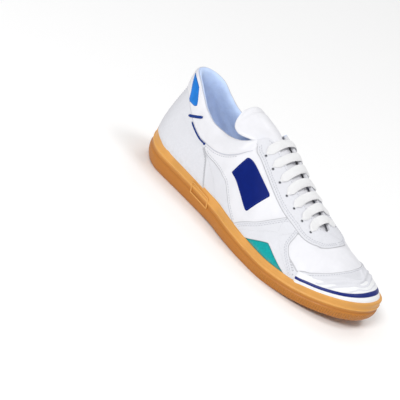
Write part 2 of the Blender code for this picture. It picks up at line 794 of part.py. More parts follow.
def build_toe(collection):
    """The strip round the toe, and the guard above it."""
    half = PER_SIDE - station_of(TOE_BACK)
    steps = ring_steps(half, 0.7) + PER_SIDE
    low = t_above_rim(steps, OVERLAY_SPACE)
    edge = t_above_rim(steps, STRIP_HEIGHT)
    across = np.linspace(0, 1, 3)[:, None]
    overlay("toe_strip", collection, material("white strip", WHITE, 0.4), steps, low + (edge - low) * across)
    low = t_above_rim(steps, STRIP_HEIGHT + OVERLAY_SPACE)
    top = np.maximum(t_past_nose(steps, GUARD_NOSE), low + GUARD_LEAST_T)
    across = np.linspace(0, 1, 5)[:, None]
    overlay("toe_guard", collection, material("white leather", WHITE, 0.45), steps, low + (top - low) * across)


def build_heel(collection):
    """Suede counter round the heel, and the coloured piece at the top of the cuff."""
    unit = ring_steps(1.0, 0.11)
    across = np.linspace(0, 1, 6)[:, None]
    front_t = COUNTER[-1][0]
    corner_t = t_above_rim(station_of(COUNTER[0][1]), OVERLAY_SPACE)
    edge_t = corner_t + (front_t - corner_t) * across
    steps = unit * station_of(column(COUNTER, COUNTER_COLUMNS, "share", edge_t))
    rim = t_above_rim(steps, OVERLAY_SPACE)
    top = COUNTER_BACK_T + (front_t - COUNTER_BACK_T) * np.abs(unit) ** 2
    t = rim + (top - rim) * across
    overlay("heel_counter", collection, material("pale suede", SUEDE, 0.9), steps, t)
    steps = ring_steps(station_of(HEEL_PATCH_FRONT), 0.5)
    stop, foot = upper_end(steps), t_below_top(steps, CUFF_DEPTH + CUFF_TOP)
    across = np.array([0.08, 0.5, 1.0])[:, None]
    t = foot + (stop - foot) * across
    out = cuff_out(across) + FIT_GAP + 0 * t
    overlay("heel_patch", collection, material("blue piece", BLUE, 0.5), steps, t, out)


def cuff_out(share):
    """How far the cuff's outer face lies off the upper, from its foot at 0 to the upper's end at 1."""
    return np.interp(share, (0, 0.5, 1), (CUFF_GAP + OVERLAY_WALL / 2, CUFF_OUTER, CUFF_OUTER))


def build_sides(collection):
    suede = material("pale suede", SUEDE, 0.9)
    for side, word in ((-1, "outer"), (1, "inner")):
        edged("quarter_" + word, collection, suede, side, QUARTER, 4)
        edged("saddle_" + word, collection, suede, side, SADDLE, 5)
        edged("window_" + word, collection, material("teal panel", TEAL, 0.6), side, WINDOW, 3)
        edged("side_patch_" + word, collection, material("navy piece", NAVY, 0.5), side, SIDE_PATCH, 5)


def spine_point(share):
    """The throat's middle line: between the two edges, with their mean height."""
    steps = station_of(share)
    ends = [last_point(ring, 1.0 + 0 * steps) for ring in (steps, RING - steps)]
    return (ends[0] + ends[1]) / 2


def tongue_line(along):
    """Middle of the tongue's upper face: under the throat, then on past the instep in the same sweep."""
    along = np.asarray(along, float)
    free_start = 1 - TONGUE_FREE / (TONGUE_FREE + (TONGUE_FRONT - TONGUE_BACK) * LENGTH)
    under = np.clip(along / free_start, 0, 1)
    share = TONGUE_FRONT + (TONGUE_BACK - TONGUE_FRONT) * under
    point = spine_point(share)
    point[..., 2] -= UPPER_WALL + TONGUE_GAP
    past = np.clip((along - free_start) / (1 - free_start), 0, 1)
    point[..., 0] -= TONGUE_FREE * past
    point[..., 2] += TONGUE_FREE_RISE * past * (1.25 - 0.25 * past)
    return point


def build_tongue(collection):
    along = np.linspace(0, 1, TONGUE_SECTIONS)
    middle = tongue_line(along)
    middle[:, 2] += column(TONGUE, TONGUE_COLUMNS, "lift", along)
    half = column(TONGUE, TONGUE_COLUMNS, "half", along)
    wall = column(TONGUE, TONGUE_COLUMNS, "wall", along)
    across = np.array([-1, -0.8, -0.45, 0, 0.45, 0.8, 1])
    sections = []
    for point, reach, thick in zip(middle, half, wall):
        y = across * reach
        arch = y ** 2 / (2 * TONGUE_ROUND)
        top = [(point[0], point[1] + a, point[2] - b) for a, b in zip(y, arch)]
        fat = thick * np.array([0.45, 0.85, 1, 1, 1, 0.85, 0.45])
        low = [(x, v, z - f) for (x, v, z), f in zip(top, fat)]
        sections.append(top + low[::-1])
    mesh = closed_loft(sections, capped=True)
    return add_object("tongue", mesh, collection, material("white leather", WHITE, 0.45))


def lace_bar(share):
    """Sections of one flat bar from the outer eyestay over the throat to the inner one."""
    lift = OVERLAY_GAP + OVERLAY_WALL + OVERLAY_GAP
    sections = []
    run = np.array([BAR_REACH - BAR_EDGE, 0.5 * (BAR_REACH - BAR_EDGE), 0.0])
    halves = []
    for sign in (-1, 1):
        edges = []
        for shift in (-0.5, 0.5):
            at = share + shift * BAR_WIDTH / (LENGTH - TOE_POLE_INSET - HEEL_POLE)
            steps = station_of(at) + 0 * run
            ring = steps if sign < 0 else RING - steps
            t = t_below_top(ring, run)
            low = offset_point(ring, t, np.full(3, lift))
            high = offset_point(ring, t, np.full(3, lift + BAR_WALL))
            edges.append((low, high))
        halves.append(edges)
    (left_back, left_front), (right_back, right_front) = halves
    for i in (0, 1, 2):
        sections.append([left_back[0][i], left_front[0][i], left_front[1][i], left_back[1][i]])
    for i in (2, 1, 0):
        sections.append([right_back[0][i], right_front[0][i], right_front[1][i], right_back[1][i]])
    left, right = np.array(sections[2]), np.array(sections[3])
    arch = [left + (right - left) * k + np.array([0, 0, 4 * k * (1 - k) * BAR_ARCH]) for k in BAR_ARCH_SHARES]
    return sections[:3] + arch + sections[3:]


def build_laces(collection, cutters):
    """Seven bars and the short links between them, one solid, clear of tongue and eyestay."""
    paint = material("white lace", WHITE, 0.8)
    shares = np.linspace(BAR_FIRST, BAR_LAST, BAR_COUNT)
    laces = add_object("laces", closed_loft(lace_bar(shares[0]), capped=True), collection, paint)
    bars = [add_object("bar_%d" % i, closed_loft(lace_bar(share), True), cutters, paint)
            for i, share in enumerate(shares) if i]
    sections = [lace_bar(share) for share in shares]
    middles = [np.mean(bar[len(bar) // 2], axis=0) for bar in sections]
    for i in range(BAR_COUNT - 1):
        run = middles[i + 1] - middles[i]
        across = np.array([0, LINK_WIDTH / 2, 0])
        up = np.cross(run, across)
        up = up / np.linalg.norm(up) * LINK_WALL / 2
        path = []
        for share in (LINK_BITE, 1 - LINK_BITE):
            middle = middles[i] + run * share
            path.append([middle - across - up, middle + across - up, middle + across + up, middle - across + up])
        bars.append(add_object("link_%d" % i, closed_loft(path, True), cutters, paint))
    for other in bars:
        join = laces.modifiers.new(other.name, "BOOLEAN")
        join.operation = "UNION"
        join.solver = "EXACT"
        join.object = other
        other.hide_render = True
        other.display_type = "WIRE"
    return laces


def clear_scene():
    for obj in list(bpy.data.objects):
        bpy.data.objects.remove(obj, do_unlink=True)
    for data in list(bpy.data.meshes):
        bpy.data.meshes.remove(data)


def new_collection(name):
    made = bpy.data.collections.new(name)
    bpy.context.scene.collection.children.link(made)
    return made


def move_origin(collections):
    """The world origin goes to the middle of the sole's outline, on the floor."""
    steps = np.arange(RING, dtype=float)
    rib = ribs(steps)
    edge = rib["spine"] + rib["radius"][:, None] * rib["way"]
    middle = (edge.min(axis=0) + edge.max(axis=0)) / 2
    for obj in {obj for found in collections for obj in found.objects}:
        obj.location = (-middle[0], -middle[1], 0)


def main():
    clear_scene()
    shoe = new_collection("indoor soccer shoe")
    cutters = new_collection("cutters")
    cutters.hide_render = True
    build_sole(shoe, cutters)
    build_insole(shoe)
    build_upper(shoe)
    build_cuff(shoe)
    build_eyestay(shoe)
    build_heel(shoe)
    build_sides(shoe)
    build_toe(shoe)
    build_tongue(shoe)
    build_laces(shoe, cutters)
    move_origin((shoe, cutters))


main()
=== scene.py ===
import math

import bmesh
import bpy
import numpy as np
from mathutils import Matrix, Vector


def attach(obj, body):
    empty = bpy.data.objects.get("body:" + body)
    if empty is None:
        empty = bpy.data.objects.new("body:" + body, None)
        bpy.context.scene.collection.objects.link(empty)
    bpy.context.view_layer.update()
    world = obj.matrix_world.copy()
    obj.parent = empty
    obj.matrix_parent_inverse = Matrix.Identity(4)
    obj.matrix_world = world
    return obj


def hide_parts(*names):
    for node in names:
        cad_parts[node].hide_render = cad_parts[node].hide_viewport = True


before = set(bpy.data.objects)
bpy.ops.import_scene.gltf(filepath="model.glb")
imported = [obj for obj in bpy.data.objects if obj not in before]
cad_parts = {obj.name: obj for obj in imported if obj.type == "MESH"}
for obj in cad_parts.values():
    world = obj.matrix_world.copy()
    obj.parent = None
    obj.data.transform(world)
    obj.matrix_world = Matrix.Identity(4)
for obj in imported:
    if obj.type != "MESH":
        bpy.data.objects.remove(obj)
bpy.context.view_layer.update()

rng = np.random.default_rng(7)

MM = 0.001

# Driving sizes, as in the part
LENGTH = 0.292
BALL_WIDTH = 0.108
HEEL_HEIGHT = 0.102
INSTEP_HEIGHT = 0.098
RIM_HEIGHT = 0.027
UPPER_WALL = 2.0 * MM
RIM_WALL = 2.8 * MM
FIT_GAP = 0.3 * MM
HEEL_ROUND = 36 * MM
TOE_ROUND = 80 * MM
HEEL_POWER = 2.1
TOE_POWER = 2.25
HEEL_POLE = 37 * MM
TOE_POLE_INSET = 42 * MM
ORIGIN = np.array([146.0, -0.863, 0.0]) * MM

# Outline from above, shares of LENGTH and BALL_WIDTH
OUTLINE_COLUMNS = ("share", "middle", "half", "spine")
OUTLINE = (
    (0.0, 0.010, 0.310, 0.010),
    (0.1, 0.008, 0.325, 0.006),
    (0.2, 0.000, 0.336, 0.000),
    (0.3, -0.019, 0.338, -0.008),
    (0.4, -0.042, 0.352, -0.014),
    (0.5, -0.060, 0.396, -0.016),
    (0.6, -0.044, 0.446, -0.008),
    (0.7, -0.014, 0.486, 0.004),
    (0.8, 0.016, 0.479, 0.016),
    (0.9, 0.034, 0.458, 0.030),
    (1.0, 0.046, 0.440, 0.040),
)

# Heights along the sole, shares of LENGTH and RIM_HEIGHT
SOLE_COLUMNS = ("share", "bottom", "floor", "rim", "tuck")
SOLE = (
    (0.00, 0.150, 0.700, 1.260, 0.240),
    (0.06, 0.044, 0.685, 1.155, 0.200),
    (0.12, 0.000, 0.667, 1.074, 0.170),
    (0.30, 0.000, 0.630, 1.000, 0.140),
    (0.42, 0.044, 0.574, 0.937, 0.120),
    (0.52, 0.022, 0.500, 0.852, 0.110),
    (0.58, 0.000, 0.463, 0.793, 0.100),
    (0.70, 0.000, 0.426, 0.741, 0.090),
    (0.78, 0.067, 0.444, 0.763, 0.090),
    (0.86, 0.167, 0.519, 0.870, 0.090),
    (0.93, 0.296, 0.630, 1.020, 0.100),
    (1.00, 0.444, 0.778, 1.185, 0.110),
)

# Top line: radius from the spine in shares of BALL_WIDTH, height of each side in shares of HEEL_HEIGHT
COLLAR_COLUMNS = ("share", "radius", "outer", "inner")
COLLAR = (
    (0.00, 0.268, 1.000, 1.000),
    (0.05, 0.272, 0.957, 0.957),
    (0.10, 0.276, 0.880, 0.872),
    (0.16, 0.284, 0.798, 0.802),
    (0.22, 0.284, 0.758, 0.773),
    (0.28, 0.275, 0.765, 0.785),
    (0.33, 0.256, 0.802, 0.812),
    (0.37, 0.218, 0.876, 0.882),
)
THROAT_END = 0.833
# Throat edge and ridge: the same, with heights in shares of INSTEP_HEIGHT
THROAT = (
    (0.40, 0.130, 1.000, 1.010),
    (0.43, 0.100, 0.985, 1.000),
    (0.50, 0.093, 0.905, 0.930),
    (0.60, 0.088, 0.775, 0.810),
    (0.70, 0.083, 0.665, 0.695),
    (0.77, 0.072, 0.600, 0.622),
    (0.81, 0.050, 0.577, 0.588),
    (THROAT_END, 0.000, 0.570, 0.570),
    (0.88, 0.000, 0.550, 0.550),
    (0.94, 0.000, 0.522, 0.522),
    (1.00, 0.000, 0.480, 0.480),
)

# Wall shape: bulge past the outline, reach below the top line and drop, shares of BALL_WIDTH
WALL_COLUMNS = ("share", "bulge", "reach", "drop")
WALL = (
    (0.00, 0.030, -0.037, 0.240),
    (0.10, 0.030, 0.000, 0.210),
    (0.20, 0.030, 0.020, 0.165),
    (0.30, 0.030, 0.040, 0.140),
    (0.37, 0.030, 0.090, 0.120),
    (0.43, 0.022, 0.135, 0.080),
    (0.50, 0.018, 0.155, 0.075),
    (0.60, 0.016, 0.185, 0.065),
    (0.70, 0.016, 0.205, 0.045),
    (0.80, 0.018, 0.220, 0.015),
    (0.86, 0.020, 0.225, 0.000),
    (1.00, 0.022, 0.230, 0.000),
)
KNEE_SHARE = 0.45

HEEL_STATIONS = 6
MIDDLE_STATIONS = 17
TOE_STATIONS = 8
PER_SIDE = HEEL_STATIONS + MIDDLE_STATIONS + TOE_STATIONS
RING = 2 * PER_SIDE

# Edges of the panels on one side: share of LENGTH and t up the rib
COUNTER_FRONT = (
    (0.345, 0.000), (0.334, 0.060), (0.327, 0.131), (0.304, 0.300), (0.283, 0.444), (0.248, 0.560),
)
QUARTER_FRONT = (
    (0.250, 0.560), (0.268, 0.513), (0.300, 0.480), (0.318, 0.462), (0.354, 0.400), (0.402, 0.263),
    (0.450, 0.165), (0.504, 0.088), (0.515, 0.000),
)
SADDLE_TOP = (
    (0.505, 0.000), (0.510, 0.085), (0.545, 0.205), (0.584, 0.325), (0.620, 0.475), (0.655, 0.638),
    (0.665, 0.680),
)
SADDLE_FRONT = (
    (0.728, 0.680), (0.727, 0.600), (0.724, 0.475), (0.735, 0.400), (0.760, 0.310), (0.784, 0.206),
    (0.797, 0.000),
)
WINDOW = (
    (0.550, -0.050), (0.566, 0.062), (0.600, 0.140), (0.655, 0.268), (0.668, 0.272), (0.682, 0.256),
    (0.724, 0.185), (0.766, 0.100), (0.790, -0.050),
)
SIDE_PATCH = ((0.392, 0.385), (0.402, 0.615), (0.562, 0.615), (0.527, 0.275))
EYESTAY_ARM = (
    (0.376, 0.990), (0.390, 0.840), (0.411, 0.722), (0.440, 0.700), (0.478, 0.688), (0.589, 0.663),
    (0.682, 0.644), (0.726, 0.642),
)
EYESTAY_NOSE = (0.685, 0.108, 0.287, 0.014, 2.3, 2.3)
GUARD_NOSE = (0.784, 0.094, 0.413, 0.000, 1.0, 2.6)
STRIP_BACK = 0.797

# Heights of the panels over the leather
EYESTAY_RISE = 1.1 * MM
SADDLE_RISE = 0.8 * MM
QUARTER_RISE = 0.6 * MM
COUNTER_RISE = 0.9 * MM
GUARD_RISE = 0.8 * MM
WINDOW_DROP = 0.2 * MM
EDGE_SOFT = 0.55 * MM

COLLAR_FRONT = 0.398

EYELETS = (0.446, 0.499, 0.552, 0.605, 0.658, 0.712, 0.765)
EYELET_RUN = 13.0 * MM
LACE_WIDTH = 9.0 * MM
LACE_WALL = 1.3 * MM


def column(table, names, name, at):
    """A table's column at the given shares, smooth and with no overshoot between its rows."""
    x = np.array([row[0] for row in table])
    y = np.array([row[names.index(name)] for row in table])
    width = np.diff(x)
    slope = np.diff(y) / width
    left, right = slope[:-1], slope[1:]
    inner = np.where(left * right > 0, 2 * left * right / np.where(left + right == 0, 1, left + right), 0)
    tangent = np.concatenate([slope[:1], inner, slope[-1:]])
    at = np.clip(at, x[0], x[-1])
    i = np.clip(np.searchsorted(x, at, side="right") - 1, 0, len(x) - 2)
    s = (at - x[i]) / width[i]
    low = y[i] * (1 + 2 * s) + width[i] * tangent[i] * s
    high = y[i + 1] * (3 - 2 * s) - width[i] * tangent[i + 1] * (1 - s)
    return low * (1 - s) ** 2 + high * s ** 2


def outline_value(name, share):
    return column(OUTLINE, OUTLINE_COLUMNS, name, share) * BALL_WIDTH


def sole_height(name, x):
    return column(SOLE, SOLE_COLUMNS, name, x / LENGTH) * RIM_HEIGHT


def wall_value(name, share):
    return column(WALL, WALL_COLUMNS, name, share) * BALL_WIDTH


def top_tables(side):
    name = "outer" if side < 0 else "inner"
    at = COLLAR_COLUMNS.index(name)
    collar = [(row[0], row[1] * BALL_WIDTH, row[at] * HEEL_HEIGHT) for row in COLLAR]
    throat = [(row[0], row[1] * BALL_WIDTH, row[at] * INSTEP_HEIGHT) for row in THROAT]
    return collar + throat


TOP_COLUMNS = ("share", "radius", "height")
TOPS = {side: top_tables(side) for side in (-1, 1)}


def top_value(side, name, share):
    return np.where(
        side < 0,
        column(TOPS[-1], TOP_COLUMNS, name, share),
        column(TOPS[1], TOP_COLUMNS, name, share),
    )


def share_at(step):
    heel = HEEL_ROUND * (1 - np.cos(math.pi / 2 * np.clip(step / HEEL_STATIONS, 0, 1)))
    run = np.clip((step - HEEL_STATIONS) / MIDDLE_STATIONS, 0, 1) * (LENGTH - HEEL_ROUND - TOE_ROUND)
    last_part = np.clip((step - HEEL_STATIONS - MIDDLE_STATIONS) / TOE_STATIONS, 0, 1)
    toe = TOE_ROUND * np.sin(math.pi / 2 * last_part)
    return (heel + run + toe) / LENGTH


def station_of(share):
    steps = np.linspace(0, PER_SIDE, 4801)
    return np.interp(share, share_at(steps), steps)


def end_round(share):
    x = share * LENGTH
    heel = np.clip(1 - x / HEEL_ROUND, 0, 1)
    toe = np.clip((x - LENGTH + TOE_ROUND) / TOE_ROUND, 0, 1)
    return (1 - heel ** HEEL_POWER) ** (1 / HEEL_POWER) * (1 - toe ** TOE_POWER) ** (1 / TOE_POWER)


def ribs(step):
    """What each rib of the last needs, at ring numbers step: 0 heel, PER_SIDE toe, RING heel again."""
    step = np.mod(np.asarray(step, float), RING)
    side = np.where(step <= PER_SIDE, -1, 1)
    share = share_at(np.where(side < 0, step, RING - step))
    along = HEEL_POLE + (LENGTH - TOE_POLE_INSET - HEEL_POLE) * share
    spine = np.stack([along, outline_value("spine", along / LENGTH)], -1)
    half = outline_value("half", share) * end_round(share)
    edge = np.stack([share * LENGTH, outline_value("middle", share) + side * half], -1)
    reach = np.linalg.norm(edge - spine, axis=-1)
    return {
        "side": side,
        "share": share,
        "spine": spine,
        "radius": reach,
        "way": (edge - spine) / reach[..., None],
        "rim": sole_height("rim", share * LENGTH),
        "top_radius": top_value(side, "radius", share),
        "top": top_value(side, "height", share),
    }


def section(rib):
    """The four points (radius, height) that steer one rib's curve."""
    share, way = rib["share"], rib["way"]
    foot_radius = rib["radius"] - RIM_WALL
    foot_place = rib["spine"] + foot_radius[..., None] * way
    foot = sole_height("floor", foot_place[..., 0]) + FIT_GAP
    ahead = np.minimum(share + 0.01, 1.0)
    behind = ahead - 0.02
    fall = (top_value(rib["side"], "height", ahead) - top_value(rib["side"], "height", behind))
    fall = fall / ((ahead - behind) * (LENGTH - TOE_POLE_INSET - HEEL_POLE))
    fall = fall * np.clip((share - 0.40) / 0.06, 0, 1)
    reach = wall_value("reach", share)
    near = rib["top"] - wall_value("drop", share) + fall * reach * way[..., 0]
    return (
        (foot_radius, foot),
        (rib["radius"] + wall_value("bulge", share), foot + KNEE_SHARE * (rib["top"] - foot)),
        (rib["top_radius"] + reach, near),
        (rib["top_radius"], rib["top"]),
    )


def bezier(points, t):
    a, b, c, d = points
    return a * (1 - t) ** 3 + 3 * b * t * (1 - t) ** 2 + 3 * c * t ** 2 * (1 - t) + d * t ** 3


def last_point(step, t):
    """A point of the upper's outer face, t from 0 at the feather edge to 1 at the top line."""
    rib = ribs(step)
    steer = section(rib)
    radius = bezier([p[0] for p in steer], t)
    height = bezier([p[1] for p in steer], t)
    flat = rib["spine"] + radius[..., None] * rib["way"]
    return np.concatenate([flat, height[..., None]], -1)


def raw_normal(step, t):
    ds, dt = 0.02, 0.004
    along = last_point(step + ds, t) - last_point(step - ds, t)
    up = last_point(step, np.minimum(t + dt, 1)) - last_point(step, np.maximum(t - dt, 0))
    normal = np.cross(along, up)
    size = np.linalg.norm(normal, axis=-1, keepdims=True)
    return np.where(size > 1e-9, normal / np.maximum(size, 1e-9), np.array([0.2, 0.0, 0.98]))


def last_normal(step, t):
    """The outward normal, the same for both sides where they meet on the ridge."""
    t = np.asarray(t, float)
    own = raw_normal(step, np.minimum(t, 0.985))
    other = raw_normal(RING - np.asarray(step, float), np.minimum(t, 0.985))
    share = ribs(step)["share"]
    near = np.clip((t - 0.88) / 0.12, 0, 1) * (share >= THROAT_END - 0.02) * 0.5
    normal = own * (1 - near[..., None]) + other * near[..., None]
    return normal / np.linalg.norm(normal, axis=-1, keepdims=True)


def t_where(step, reached):
    """Smallest t at which reached(points) turns true, from a fine walk along each rib."""
    walk = np.linspace(0, 1, 801)
    steps = np.asarray(step, float)[..., None] + 0 * walk
    points = last_point(steps, np.broadcast_to(walk, steps.shape))
    hit = reached(points)
    return walk[np.argmax(hit, axis=-1)]


def t_above_rim(step, rise):
    rim = ribs(step)["rim"] + rise
    return t_where(step, lambda p: p[..., 2] >= rim[..., None])


def t_below_top(step, run):
    """The t whose distance along the rib to the top line is run."""
    def near_top(points):
        pieces = np.linalg.norm(np.diff(points, axis=-2), axis=-1)
        left = np.cumsum(pieces[..., ::-1], axis=-1)[..., ::-1]
        left = np.concatenate([left, 0 * left[..., :1]], -1)
        return left <= np.asarray(run, float)[..., None]
    return t_where(step, near_top)


def smooth(low, high, value):
    s = np.clip((value - low) / (high - low), 0, 1)
    return s * s * (3 - 2 * s)


def rounded(points, pieces=10):
    """A smooth curve through table points (share, t)."""
    p = np.array(points, float)
    ends = np.vstack([2 * p[0] - p[1], p, 2 * p[-1] - p[-2]])
    out = []
    for a, b, c, d in zip(ends, ends[1:], ends[2:], ends[3:]):
        for s in np.arange(pieces) / pieces:
            out.append(0.5 * (2 * b + (c - a) * s + (2 * a - 5 * b + 4 * c - d) * s ** 2
                              + (3 * b - a - 3 * c + d) * s ** 3))
    return np.array(out + [p[-1]])


def ring_of(share, side):
    step = station_of(share)
    return step if side < 0 else RING - step


def on_last(line, side):
    line = np.asarray(line, float)
    return last_point(ring_of(line[:, 0], side), np.maximum(line[:, 1], 0))


def line_distance(points, line):
    """Distance of each point to a polyline in space."""
    best = np.full(len(points), 1.0)
    for a, b in zip(line, line[1:]):
        ab = b - a
        s = np.clip((points - a) @ ab / max(ab @ ab, 1e-15), 0, 1)
        gap = points - a - s[:, None] * ab
        best = np.minimum(best, np.einsum("ij,ij->i", gap, gap))
    return np.sqrt(best)


def inside(u, v, ring):
    """Even-odd test of points in the (share, t) chart."""
    found = np.zeros(len(u), bool)
    for (ax, ay), (bx, by) in zip(ring, np.roll(ring, -1, axis=0)):
        crosses = (ay > v) != (by > v)
        x = ax + (v - ay) * (bx - ax) / np.where(by == ay, 1e-9, by - ay)
        found ^= crosses & (u < x)
    return found


PANEL_LINES = {
    "counter": rounded(COUNTER_FRONT),
    "quarter": rounded(QUARTER_FRONT),
    "saddle_top": rounded(SADDLE_TOP),
    "saddle_front": rounded(SADDLE_FRONT),
    "window": rounded(WINDOW, 4),
    "arm": rounded(EYESTAY_ARM, 6),
}
FAR_OUT = -0.05
TIP_SHARE = 0.99


def nose_distance(points, nose):
    """How far a point lies in front of a front edge drawn from above, about in metres."""
    start, run, half, middle, power_x, power_y = nose

    def value(x, y):
        across = np.abs(y - middle * BALL_WIDTH) / (half * BALL_WIDTH)
        return (np.maximum(x - start * LENGTH, 0) / (run * LENGTH)) ** power_x + across ** power_y - 1

    x, y, step = points[:, 0], points[:, 1], 0.1 * MM
    gx = (value(x + step, y) - value(x - step, y)) / (2 * step)
    gy = (value(x, y + step) - value(x, y - step)) / (2 * step)
    return value(x, y) / np.maximum(np.hypot(gx, gy), 1.0)


def signed(gap, inner):
    return np.where(inner, gap, -gap)


def panels(step, t):
    """Signed distances to each panel, more than 0 inside it, for flat arrays of ring numbers and t."""
    step, t = np.mod(np.ravel(step), RING), np.ravel(t)
    rib = ribs(step)
    points = last_point(step, t)
    share = rib["share"]
    names = ("counter", "quarter", "saddle", "window", "eyestay")
    found = {name: np.full(len(step), FAR_OUT) for name in names}
    counter, quarter, arm = (PANEL_LINES[key] for key in ("counter", "quarter", "arm"))
    saddle = np.vstack([PANEL_LINES["saddle_top"], PANEL_LINES["saddle_front"]])
    for side in (-1, 1):
        pick = np.flatnonzero((rib["side"] == side) & (share < TIP_SHARE))
        u, v, p = share[pick], t[pick], points[pick]
        gap = {key: line_distance(p, on_last(line, side)) for key, line in PANEL_LINES.items()}
        found["counter"][pick] = signed(gap["counter"], u < np.interp(v, counter[:, 1], counter[:, 0]))
        behind = (u < np.interp(v, quarter[::-1, 1], quarter[::-1, 0])) & (v < quarter[:, 1].max())
        over = signed(gap["quarter"], behind)
        found["quarter"][pick] = np.minimum(over, -found["counter"][pick] + 1.0 * MM)
        edge = np.minimum(gap["saddle_top"], gap["saddle_front"])
        found["saddle"][pick] = signed(edge, inside(u, v, saddle))
        found["window"][pick] = signed(gap["window"], inside(u, v, PANEL_LINES["window"]))
        above = (v > np.interp(u, arm[:, 0], arm[:, 1])) & (u > arm[0, 0])
        turn = smooth(0.60, 0.745, u)
        nose = nose_distance(p, EYESTAY_NOSE)
        found["eyestay"][pick] = signed(gap["arm"], above) * (1 - turn) - nose * turn
    tip = share >= TIP_SHARE
    found["eyestay"][tip] = -nose_distance(points[tip], EYESTAY_NOSE)
    guard = nose_distance(points, GUARD_NOSE)
    found["guard"] = np.where(share > 0.70, np.minimum(guard, -found["saddle"]), FAR_OUT)
    return found, points, rib


# Soft ridges of the toe guard and creases, as (side, share, t) points; width and height in metres
RIDGES = (
    (((-1, 0.850, 0.330), (-1, 0.867, 0.356), (-1, 0.905, 0.470), (-1, 0.946, 0.588), (-1, 0.985, 0.690),
      (1, 0.985, 0.780), (1, 0.960, 0.760)), 1.8 * MM, 1.25 * MM),
    (((-1, 0.862, 0.270), (-1, 0.878, 0.300), (-1, 0.933, 0.500), (-1, 0.980, 0.640), (1, 0.998, 0.744),
      (1, 0.960, 0.660), (1, 0.930, 0.540)), 1.8 * MM, 1.25 * MM),
    (((-1, 0.885, 0.250), (-1, 0.900, 0.294), (-1, 0.920, 0.369), (-1, 0.955, 0.500), (-1, 0.984, 0.600),
      (1, 0.995, 0.640), (1, 0.960, 0.560), (1, 0.920, 0.420)), 1.8 * MM, 1.25 * MM),
    (((-1, 0.920, 0.290), (-1, 0.950, 0.370), (-1, 0.975, 0.480), (-1, 0.990, 0.545), (1, 0.995, 0.560),
      (1, 0.970, 0.480), (1, 0.930, 0.350)), 1.8 * MM, 1.1 * MM),
    (((-1, 0.952, 0.330), (-1, 0.971, 0.400), (-1, 0.995, 0.460), (1, 0.985, 0.430), (1, 0.955, 0.340)),
     1.6 * MM, 0.9 * MM),
)
CREASES = (
    (((-1, 0.735, 0.560), (-1, 0.752, 0.450), (-1, 0.775, 0.350)), 3.0 * MM, -0.45 * MM),
    (((-1, 0.800, 0.560), (-1, 0.822, 0.440), (-1, 0.830, 0.330)), 4.0 * MM, -0.40 * MM),
    (((-1, 0.860, 0.760), (-1, 0.875, 0.600), (-1, 0.868, 0.470)), 4.0 * MM, -0.30 * MM),
    (((1, 0.740, 0.600), (1, 0.760, 0.450), (1, 0.775, 0.330)), 3.2 * MM, -0.45 * MM),
    (((1, 0.810, 0.600), (1, 0.828, 0.450), (1, 0.832, 0.330)), 4.0 * MM, -0.40 * MM),
    (((-1, 0.430, 0.560), (-1, 0.470, 0.420), (-1, 0.480, 0.250)), 5.0 * MM, -0.40 * MM),
    (((1, 0.440, 0.560), (1, 0.460, 0.400), (1, 0.470, 0.250)), 5.0 * MM, -0.40 * MM),
    (((-1, 0.200, 0.560), (-1, 0.235, 0.440), (-1, 0.250, 0.250)), 4.0 * MM, -0.30 * MM),
    (((-1, 0.120, 0.540), (-1, 0.150, 0.350), (-1, 0.140, 0.180)), 6.0 * MM, -0.30 * MM),
    (((1, 0.210, 0.550), (1, 0.235, 0.420), (1, 0.240, 0.240)), 4.0 * MM, -0.30 * MM),
    (((-1, 0.600, 0.300), (-1, 0.640, 0.420), (-1, 0.690, 0.440)), 3.5 * MM, -0.25 * MM),
)


def placed_line(rows, pieces=6):
    """A smooth line in space through (side, share, t) rows on the last."""
    step = np.array([float(ring_of(share, side)) for side, share, _ in rows])
    t = np.array([row[2] for row in rows])
    line = rounded(np.stack([step, t], -1), pieces)
    return last_point(line[:, 0], line[:, 1])


RELIEF_LINES = [(placed_line(rows), width, height) for rows, width, height in RIDGES + CREASES]
RIDGE_COUNT = len(RIDGES)


def edge_step(distance, rise, soft=EDGE_SOFT):
    return rise * smooth(-soft, soft, distance)


def relief(step, t, found=None, points=None):
    """Height of the finished surface over the plain last."""
    if found is None:
        found, points, _ = panels(step, t)
    saddle = np.minimum(found["saddle"], -found["window"])
    rise = edge_step(found["counter"], COUNTER_RISE)
    rise = rise + edge_step(found["quarter"], QUARTER_RISE)
    rise = np.maximum(rise, edge_step(saddle, SADDLE_RISE))
    rise = np.maximum(rise, edge_step(found["eyestay"], EYESTAY_RISE))
    rise = np.maximum(rise, edge_step(found["guard"], GUARD_RISE))
    rise = rise - edge_step(found["window"], WINDOW_DROP)
    for i, (line, width, height) in enumerate(RELIEF_LINES):
        gap = line_distance(points, line)
        reach = np.exp(-(gap / width) ** 2)
        if i < RIDGE_COUNT:
            reach = reach * smooth(0.3 * MM, 1.5 * MM, found["guard"])
        rise = rise + height * reach
    return rise


def fold_share(points, found):
    """Depth between the toe guard's soft ridges, used to paint shade into the valleys: 0 on a ridge or off the
    guard, 1 in a valley.
    """
    high = np.zeros(len(points))
    for line, width, _ in RELIEF_LINES[:RIDGE_COUNT]:
        high = np.maximum(high, np.exp(-(line_distance(points, line) / (1.1 * width)) ** 2))
    return (1 - high) * smooth(1.0 * MM, 4.0 * MM, found["guard"])


def finished_point(step, t, out=0.0):
    """A point of the finished upper, moved out by out, with its normal."""
    shape = np.shape(t)
    step, t = np.broadcast_to(step, shape).ravel(), np.ravel(t)
    normal = last_normal(step, t)
    point = last_point(step, t) + normal * (relief(step, t) + out)[:, None]
    return point.reshape(shape + (3,)), normal.reshape(shape + (3,))


# Meshes

